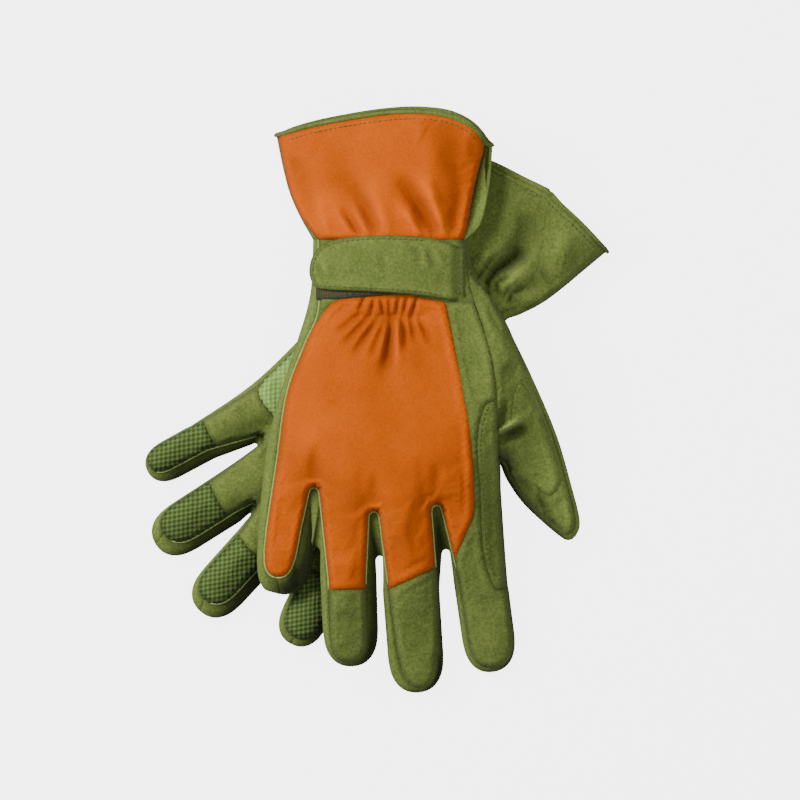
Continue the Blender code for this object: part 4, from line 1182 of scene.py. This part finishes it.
# Materials
class Shader:
    """A material under construction."""

    def __init__(self, name):
        self.material = bpy.data.materials.new(name)
        self.material.use_nodes = True
        self.tree = self.material.node_tree
        self.bsdf = self.tree.nodes["Principled BSDF"]

    def node(self, kind, **inputs):
        """A shader node with some of its inputs set or joined to other nodes."""
        made = self.tree.nodes.new("ShaderNode" + kind)
        for key, value in inputs.items():
            self.set(made, key.replace("_", " "), value)
        return made

    def set(self, node, key, value):
        """Sets a node's input, named or as i and its number, or joins it to another node's output."""
        socket = node.inputs[int(key[1:])] if key[0] == "i" and key[1:].isdigit() else node.inputs[key]
        if isinstance(value, bpy.types.NodeSocket):
            self.tree.links.new(value, socket)
        else:
            socket.default_value = value

    def attribute(self, name):
        """A number stored for each vertex."""
        made = self.tree.nodes.new("ShaderNodeAttribute")
        made.attribute_name = name
        return made.outputs["Fac"]

    def math(self, operation, a, b=0.0):
        """One sum."""
        made = self.tree.nodes.new("ShaderNodeMath")
        made.operation = operation
        self.set(made, "i0", a)
        self.set(made, "i1", b)
        return made.outputs[0]

    def mix(self, factor, a, b, blend="MIX"):
        """A colour between two others."""
        made = self.tree.nodes.new("ShaderNodeMix")
        made.data_type = "RGBA"
        made.blend_type = blend
        self.set(made, "Factor", factor)
        for key, value in (("i6", a), ("i7", b)):
            self.set(made, key, value if isinstance(value, bpy.types.NodeSocket) else (*value, 1.0))
        return made.outputs[2]

    def noise(self, vector, scale, detail=2.0):
        """Soft noise from 0 to 1."""
        return self.node("TexNoise", Vector=vector, Scale=scale, Detail=detail).outputs["Fac"]

    def scaled(self, vector, scale, turn=0.0):
        """Coordinates scaled and turned in their own plane."""
        made = self.node("Mapping", Vector=vector)
        made.inputs["Scale"].default_value = scale
        made.inputs["Rotation"].default_value = (0.0, 0.0, turn)
        return made.outputs["Vector"]

    def waves(self, vector):
        """Ridges across the x of a vector, one to each unit, from 0 to 1."""
        x = self.node("SeparateXYZ", Vector=vector).outputs["X"]
        wave = self.math("SINE", self.math("MULTIPLY", x, 2 * math.pi))
        return self.math("ADD", self.math("MULTIPLY", wave, 0.5), 0.5)

    def close(self, colour, height, distance, roughness=0.92, sheen=0.25, sheen_tint=(1.0, 1.0, 1.0)):
        """Colour times the cloth's tone, with a relief of the given height in metres."""
        # the tone holds painted shade and painted light besides the cloth's uneven colour
        tone = self.attribute("tone")
        grey = self.node("CombineColor", Red=tone, Green=tone, Blue=tone).outputs[0]
        self.set(self.bsdf, "Base Color", self.mix(1.0, colour, grey, "MULTIPLY"))
        self.set(self.bsdf, "Roughness", roughness)
        self.set(self.bsdf, "Specular IOR Level", 0.03)
        self.set(self.bsdf, "Sheen Weight", sheen)
        self.set(self.bsdf, "Sheen Roughness", 0.6)
        self.set(self.bsdf, "Sheen Tint", (*sheen_tint, 1.0))
        bump = self.node("Bump", Strength=1.0, Distance=distance, Height=height)
        self.set(self.bsdf, "Normal", bump.outputs["Normal"])
        return self.material


def cloth_space(s):
    """The cloth's own coordinates in millimetres, and the object's in metres."""
    uv = s.tree.nodes.new("ShaderNodeUVMap")
    uv.uv_map = "cloth"
    return s.scaled(uv.outputs["UV"], (UV_MM,) * 3), s.node("TexCoord").outputs["Object"]


def twill(name, dark, light):
    """Stretch twill: fine diagonal ribs crossed by a fainter weave, with uneven dye."""
    s = Shader(name)
    flat, solid = cloth_space(s)
    ribs = s.waves(s.scaled(flat, (0.95, 0.95, 0.95), 0.8))
    weave = s.waves(s.scaled(flat, (1.3, 1.3, 1.3), -0.5))
    fuzz = s.noise(solid, 950.0, 3.0)
    dye = s.noise(solid, 60.0)
    fibre = s.noise(s.scaled(flat, (0.35, 2.2, 1.0)), 1.6)
    mixed = s.math("ADD", s.math("MULTIPLY", dye, 0.5), s.math("MULTIPLY", fuzz, 1.1))
    colour = s.mix(s.math("SUBTRACT", mixed, 0.3), dark, light)
    between = s.math("MULTIPLY", s.math("SUBTRACT", 1.0, ribs), 0.08)
    colour = s.mix(between, colour, tuple(c * 0.8 for c in dark))
    relief = s.math("ADD", s.math("ADD", s.math("MULTIPLY", ribs, 0.3), s.math("MULTIPLY", weave, 0.15)),
                    s.math("ADD", s.math("MULTIPLY", fuzz, 0.7), s.math("MULTIPLY", fibre, 0.6)))
    return s.close(colour, relief, 0.00016, 0.95, 0.06, (1.0, 0.75, 0.5))


def suede(name, dark, light, grain=1.0):
    """Synthetic suede: a mottled nap with fine grain."""
    s = Shader(name)
    _, solid = cloth_space(s)
    nap = s.noise(solid, 130.0, 3.0)
    fine = s.noise(solid, 850.0, 3.0)
    pores = s.node("TexVoronoi", Vector=solid, Scale=1100.0).outputs["Distance"]
    mixed = s.math("ADD", s.math("MULTIPLY", nap, 0.45), s.math("MULTIPLY", fine, 1.3))
    colour = s.mix(s.math("SUBTRACT", mixed, 0.38), dark, light)
    relief = s.math("ADD", s.math("MULTIPLY", nap, 1.0),
                    s.math("ADD", s.math("MULTIPLY", fine, 0.6), s.math("MULTIPLY", pores, 0.4 * grain)))
    return s.close(colour, relief, 0.00022, 0.9, 0.06, (0.9, 1.0, 0.7))


def mesh_grip(name, dark, light):
    """Grip fabric: its cells are in the mesh, and the cell attribute says how high each point stands."""
    s = Shader(name)
    _, solid = cloth_space(s)
    cell = s.attribute("cell")
    fine = s.noise(solid, 1200.0, 3.0)
    colour = s.mix(cell, dark, light)
    colour = s.mix(s.math("MULTIPLY", fine, 0.35), colour, tuple(c * 0.55 for c in dark))
    return s.close(colour, fine, 0.00012, 0.8, 0.03)


def fuzzy(name, dark, light, scale):
    """Short pile, for the hook and loop tape and the thread."""
    s = Shader(name)
    flat, solid = cloth_space(s)
    pile = s.noise(solid, scale, 3.0)
    lines = s.waves(s.scaled(flat, (0.9, 0.9, 0.9)))
    colour = s.mix(s.math("MULTIPLY", pile, s.math("ADD", s.math("MULTIPLY", lines, 0.4), 0.8)), dark, light)
    return s.close(colour, pile, 0.0004, 0.95, 0.05)


MATERIALS = {
    "orange_fabric": twill("orange_twill", (0.31, 0.048, 0.001), (0.485, 0.086, 0.001)),
    "green_leather": suede("green_suede", (0.046, 0.064, 0.011), (0.135, 0.172, 0.040)),
    # piping: partly its own lighter green, partly painted light from the lamp's side
    "piping": suede("green_piping", (0.14, 0.21, 0.05), (0.29, 0.40, 0.12)),
    # the grip mesh in two copies: the finger grips' darker colours are painted shade, the palm grip's lighter
    # ones painted light
    "grip_fabric": mesh_grip("grip_mesh", (0.033, 0.050, 0.012), (0.098, 0.148, 0.038)),
    "palm_mesh_painted_light": mesh_grip("palm_mesh_painted_light", (0.142, 0.24, 0.055), (0.255, 0.385, 0.10)),
    "dark_loop": fuzzy("dark_loop", (0.010, 0.010, 0.005), (0.07, 0.065, 0.032), 900.0),
    "elastic": fuzzy("elastic", (0.35, 0.33, 0.28), (0.7, 0.68, 0.6), 1200.0),
    "green_thread": fuzzy("green_thread", (0.05, 0.065, 0.015), (0.12, 0.15, 0.045), 2200.0),
}


def slot_of(part):
    """The colour slot of a panel."""
    if part.endswith("grip"):
        return "grip_fabric"
    return "orange_fabric" if part in ORANGE_PARTS else "green_leather"


def tube(points, radius, closed=False, sides=6, flat=1.0, up=(0.0, 0.0, 1.0)):
    """Points and faces of a cord along a line of world points."""
    p = np.asarray(points, float)
    n = len(p)
    ahead = (np.roll(p, -1, axis=0) - np.roll(p, 1, axis=0)) if closed else np.gradient(p, axis=0)
    ahead /= np.linalg.norm(ahead, axis=1)[:, None] + 1e-12
    side = np.cross(ahead, np.array(up))
    side /= np.linalg.norm(side, axis=1)[:, None] + 1e-9
    top = np.cross(side, ahead)
    made = []
    for k in range(sides):
        t = 2 * math.pi * k / sides
        made.append(p + side * (radius * math.cos(t)) + top * (radius * flat * math.sin(t)))
    faces = []
    for i in range(n if closed else n - 1):
        j = (i + 1) % n
        for k in range(sides):
            m = (k + 1) % sides
            faces.append((k * n + i, k * n + j, m * n + j, m * n + i))
    if not closed:
        faces.append(tuple(k * n for k in range(sides)))
        faces.append(tuple(k * n + n - 1 for k in range(sides))[::-1])
    return np.vstack(made), faces


def joined(parts):
    """Several (points, faces) as one."""
    points, faces, offset = [], [], 0
    for p, f in parts:
        points.append(p)
        faces += [tuple(i + offset for i in face) for face in f]
        offset += len(p)
    return np.vstack(points), faces


def stitches(path):
    """Thread showing along a world path, as short spindles that rise out of the cloth and dip back in."""
    long, pitch, radius = STITCH
    at = length_along(path)
    made = []
    for start in np.arange(pitch / 2, at[-1] - long, pitch):
        line = np.column_stack([np.interp(start + np.linspace(0, long, 4), at, path[:, k]) for k in range(3)])
        line[[0, -1], 2] -= radius * 0.8
        line[1:-1, 2] += radius * 0.5
        made.append(tube(line, radius, sides=5))
    return made


def surface_of(glove, points, faces):
    """Finds the world point on top of the glove over a hand-frame line."""
    tree = BVHTree.FromPolygons([tuple(p) for p in points], [tuple(int(i) for i in f) for f in faces])

    def drop(line, lift=0.15):
        made = []
        for x, y in glove.on_ground(line):
            hit = tree.ray_cast((x, y, 200.0), (0.0, 0.0, -1.0))[0]
            if hit is not None:
                made.append((x, y, hit[2] + lift))
        return np.array(made)
    return drop


def shifted(line, distance):
    """An open line moved to its left."""
    line = np.asarray(line, float)
    return line + line_normals(line) * distance


def slab(glove, name, outline, height, thickness, spacing, facing=1.0, soft=0.8, lines=()):
    """A sheet with rounded edges over a region, its outer face at height(p), facing up or down.

    Soft is the width of its rounded edge, and lines are the folds that shade it.
    """
    plan = Plan()
    plan.line(outline, closed=True)
    points, faces, *_ = plan.fill(outline, spacing, {"all": tuple(outline.mean(axis=0))})
    rim = np.vstack([outline, outline[:1]])
    away = distance_to(points, rim)
    w = height(points) - facing * ROUND_EDGE * bell(away, 0.0, soft)
    # painted shade at the rounded edge and in the folds, painted light on their ridges
    tone = tone_of(points, away, 1.0) * np.exp(PUCKER_PAINTED_SHADING * folds(lines, points))
    if facing < 0:
        faces = [f[::-1] for f in faces]
    obj = add_mesh(name, glove.world(points, w), faces, points, tone)
    solidify(obj, thickness)
    return obj


def cells(p):
    """Mesh fabric over cloth coordinates: 1 on top of its diamond cells and 0 between them."""
    total = np.zeros(len(p))
    for turn in (CELL_TURN, -CELL_TURN):
        total += np.cos(2 * math.pi / CELL_PITCH * (p[:, 0] * math.cos(turn) + p[:, 1] * math.sin(turn)))
    return smooth(total, -1.0, 1.2)


def raise_cells(obj):
    """Divides a grip's mesh and presses its cells into it."""
    points = divided(obj)
    mesh = obj.data
    uv = np.zeros((len(points), 2))
    uv[corner_points(mesh)] = read(mesh.uv_layers["cloth"].data, "uv", 2) * UV_MM
    cell = cells(uv)
    store(mesh, "cell", cell)
    move_to(mesh, points + read(mesh.vertex_normals, "vector", 3) * ((cell - 0.5) * CELL_DEPTH * MM)[:, None])


def strap_height(glove):
    """The height of the strap's outer face over a hand-frame point, as a function."""
    def height(p):
        sewn = smooth(p[:, 0], STRAP_HINGE_U, STRAP_HINGE_U + STRAP_SEWN_OVER[glove.side])
        loose = 1 - STRAP_SEWN_DOWN * sewn
        w = glove.wrist(p) + glove.facing * (LAYERS["strap"] * loose + STRAP_THICK)
        if glove.palm_up:
            return w
        return w + PUCKER_SIZE * folds(STRAP_PUCKERS, p) + uneven(p, [STRAP_UNEVEN])
    return height


def build_patch(glove, part, body, outline):
    """A patch of hook or loop tape between the strap and the wrist."""
    def height(p):
        return glove.wrist(p) + glove.facing * (LAYERS[part] + PATCH_THICK) + uneven(p, [NAP])

    patch = slab(glove, f"{glove.side}_{part}_patch_v", outline, height, PATCH_THICK, 1.1, glove.facing, 0.4)
    finish_piece(patch, [f"{glove.side}_{part}_patch"], "dark_loop", f"{glove.side}_{body}")


def build_strap(glove):
    """The strap round the wrist, sewn to the hand at one end, with its patches and stitches."""
    side, height = glove.side, strap_height(glove)
    line = evenly(curve(STRAP_LINE, 6), 1.5)
    outline = np.vstack([line, evenly(STRAP_SEWN[side], 1.5)[1:-1]])
    strap = slab(glove, f"{side}_strap_v", outline, height, STRAP_THICK, STRAP_GRID, glove.facing,
                 lines=() if glove.palm_up else STRAP_PUCKERS)
    finish_piece(strap, [f"{side}_wrist_strap", f"{side}_strap_anchor"], "green_leather")
    bend = STRAP_BEND[side]
    ends = np.array([(STRAP_HINGE_U + bend, 0.0), (STRAP_HINGE_U - bend, 0.0)])
    start, end = glove.world(ends, height(np.array([(STRAP_HINGE_U, 0.0)] * 2))) * MM
    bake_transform(strap)
    build_patch(glove, "hook", "strap", ring(HOOK_PATCH, 1.3))
    build_patch(glove, "loop", "hand", evenly([*LOOP_PATCH, LOOP_PATCH[0]], 1.4)[:-1])
    rows = [np.column_stack([np.full(12, u), np.linspace(*STRAP_ROW_V[side], 12)]) for u in STRAP_ROWS]
    add_stitches(f"{side}_strap_stitches", side + "_hand",
                 [glove.world(row, height(row) + glove.facing * THREAD_LIFT) for row in rows])
    tab = shifted(line[8:-8], math.copysign(TAB_STITCH, area_sign(line)))
    tab = tab[tab[:, 0] < STRAP_HINGE_U - bend]
    path = glove.world(tab, height(tab) + glove.facing * 0.1)
    add_stitches(f"{side}_tab_stitches", side + "_strap", [path])


def add_stitches(name, body, paths):
    """Thread along several world paths, as one piece."""
    spindles = [spindle for path in paths for spindle in stitches(path)]
    finish_trim(add_mesh(name, *joined(spindles)), "green_thread", body)


def build_elastics(glove, drop):
    """Ribbed elastics inside the wrist, under the gathers."""
    for part, (u0, u1, v0, v1) in ELASTICS.items():
        outline = evenly([(u0, v0), (u1, v0), (u1, v1), (u0, v1), (u0, v0)], 1.6)[:-1]
        below = glove.palm_up == (part == "back")

        def height(p, below=below):
            rise, pitch = ELASTIC_RIB
            ribs = rise * np.cos(2 * math.pi * p[:, 1] / pitch)
            if below:
                return glove.under(p) + ELASTIC_UP + ribs
            return drop(p, 0.0)[:, 2] - glove.world(p, np.zeros(len(p)))[:, 2] - ELASTIC_DOWN + ribs

        node = f"{glove.side}_{part}_elastic"
        obj = slab(glove, node + "_v", outline, height, ELASTIC_THICK, 1.0, 1.0, 0.3)
        finish_piece(obj, [node], "elastic", glove.side + "_hand")


def build_binding(glove, master):
    """The tape round the cuff's mouth."""
    rows = master["rows"][1:-1]
    back_v = np.append(glove.axis_v, 0.0)
    mouth = [*master["hem_high"], *(r[-1] for r in rows)]
    mouth += [*master["hem_low"][::-1], *(r[0] for r in rows[::-1])]
    path = master["world"][mouth] - back_v * 0.3
    for _ in range(2):
        path = path * 0.5 + (np.roll(path, 1, axis=0) + np.roll(path, -1, axis=0)) * 0.25
    flat_way = np.cross(back_v, (0, 0, 1))
    points, faces = tube(path, HEM_RADIUS, closed=True, sides=8, flat=HEM_FLAT, up=flat_way)
    node = f"{glove.side}_hem_binding"
    binding = add_mesh(node + "_v", points, faces, tone=np.ones(len(points)))
    finish_piece(binding, [node], "green_leather", glove.side + "_hand")


def build_piping(glove, master):
    """Cords along the upper edges of the fingers, as far as they are seen."""
    cords = []
    for name, part in glove.stretches():
        if name not in PIPED_TO:
            continue
        ids = master["rows"][0][part]
        if glove.palm_up:
            chosen = glove.outward[part] @ np.array((1.0, 0.1)) > 0.2
        else:
            chosen = master["uv"][ids][:, 1] < PIPED_TO[name]
        starts = np.flatnonzero(np.diff(np.concatenate([[0], chosen.astype(int), [0]])))
        for low, high in zip(starts[::2], starts[1::2]):
            if high - low > 3:
                cords.append(tube(master["world"][ids[low:high]], PIPING_RADIUS))
    finish_trim(add_mesh(f"{glove.side}_piping", *joined(cords)), "piping", glove.side + "_hand")


def build_stitches(glove, master, drop):
    """Thread beside the hem, and beside the index patch where it faces up."""
    hem = evenly(master["uv"][master["hem_high"]], TRIM_STEP)
    inside_hem = HEM_STITCH if hem[-1, 0] > hem[0, 0] else -HEM_STITCH
    paths = [drop(shifted(hem, inside_hem)[4:-4])]
    if not glove.palm_up:
        paths.append(drop(shifted(evenly(curve(INDEX_PATCH), TRIM_STEP), PATCH_STITCH)[3:-3], 0.3))
    add_stitches(f"{glove.side}_seam_stitches", glove.side + "_hand", paths)


def simulate(master):
    """Lets the cloth between the seams settle: it is a little too big for them, and lightly blown up."""
    obj = add_mesh("settling", master["world"], master["faces"])
    held = obj.vertex_groups.new(name="held")
    held.add([int(i) for i in master["pinned"]], 1.0, "REPLACE")
    cloth = obj.modifiers.new("cloth", "CLOTH")
    for key, value in CLOTH.items():
        setattr(cloth.settings, key, value)
    cloth.settings.effector_weights.gravity = 0.15
    cloth.collision_settings.use_collision = False
    cloth.point_cache.frame_start = 1
    cloth.point_cache.frame_end = SETTLE_FRAMES
    for number in range(1, SETTLE_FRAMES + 1):
        bpy.context.scene.frame_set(number)
    graph = bpy.context.evaluated_depsgraph_get()
    settled = obj.evaluated_get(graph).to_mesh()
    moved = read(settled.vertices, "co", 3) / MM - master["world"]
    size = np.linalg.norm(moved, axis=1)[:, None]
    master["world"] = master["world"] + moved * SETTLE_SHARE * np.minimum(1.0, SETTLE_CAP / (size + 1e-9))
    bpy.data.objects.remove(obj)
    bpy.context.scene.frame_set(1)


def build_panels(glove, master):
    """Cuts the master mesh into its panels and strips, one piece for each CAD node."""
    names = np.array(master["names"])
    for part in sorted(set(names)):
        chosen = [f for f, n in zip(master["faces"], names) if n == part]
        used = sorted({i for f in chosen for i in f})
        new = {old: i for i, old in enumerate(used)}
        node = f"{glove.side}_{part}"
        obj = add_mesh(node + "_v", master["world"][used], [tuple(new[i] for i in f) for f in chosen],
                       master["uv"][used], master["tone"][used])
        if part in master["high_parts"]:
            refine(glove, obj, master["rim_line"])
        if part.endswith("grip"):
            raise_cells(obj)
        solidify(obj, PANEL_THICK)
        # the palm grip takes the lighter copy of the grip mesh: painted light
        material = "palm_mesh_painted_light" if part == "palm_grip" else slot_of(part)
        finish_piece(obj, [node], material, glove.side + "_hand")


def build_glove(glove):
    """Every piece of one glove."""
    master = build_master(glove)
    simulate(master)
    drop = surface_of(glove, master["world"], master["faces"][:master["high_faces"]])
    build_panels(glove, master)
    build_strap(glove)
    build_elastics(glove, drop)
    build_binding(glove, master)
    build_stitches(glove, master, drop)
    build_piping(glove, master)


def build_floor():
    """A pale floor that looks evenly white to the camera and still takes soft shadows."""
    bpy.ops.mesh.primitive_plane_add(size=4.0, location=(0, 0, -0.0004))
    floor = bpy.context.object
    floor.name = "floor"
    paper = Shader("floor")
    for key, value in FLOOR.items():
        paper.set(paper.bsdf, key, value)
    seen = paper.node("LightPath").outputs["Is Camera Ray"]
    more, glow = FLOOR_GLOW
    paper.set(paper.bsdf, "Emission Strength", paper.math("ADD", paper.math("MULTIPLY", seen, more), glow))
    floor.data.materials.append(paper.material)


def add_to_scene(name, data):
    """An object for a lamp or a camera."""
    made = bpy.data.objects.new(name, data)
    bpy.context.scene.collection.objects.link(made)
    return made


def build_studio():
    """Floor, soft sky, two large lamps and the camera, which looks straight down."""
    build_floor()
    world = bpy.data.worlds.new("studio")
    bpy.context.scene.world = world
    world.use_nodes = True
    for key, value in SKY.items():
        world.node_tree.nodes["Background"].inputs[key].default_value = value
    for name, (energy, size, place) in LIGHTS.items():
        data = bpy.data.lights.new(name, "AREA")
        data.energy = energy
        data.size = size
        lamp = add_to_scene(name, data)
        lamp.location = place
        lamp.rotation_euler = (Vector((0, 0, 0)) - lamp.location).to_track_quat("-Z", "Y").to_euler()
    data = bpy.data.cameras.new("camera")
    data.type = "ORTHO"
    data.ortho_scale = CAMERA_WIDTH
    camera = add_to_scene("camera", data)
    camera.location = CAMERA
    bpy.context.scene.camera = camera


for one in GLOVES.values():
    build_glove(one)
build_studio()
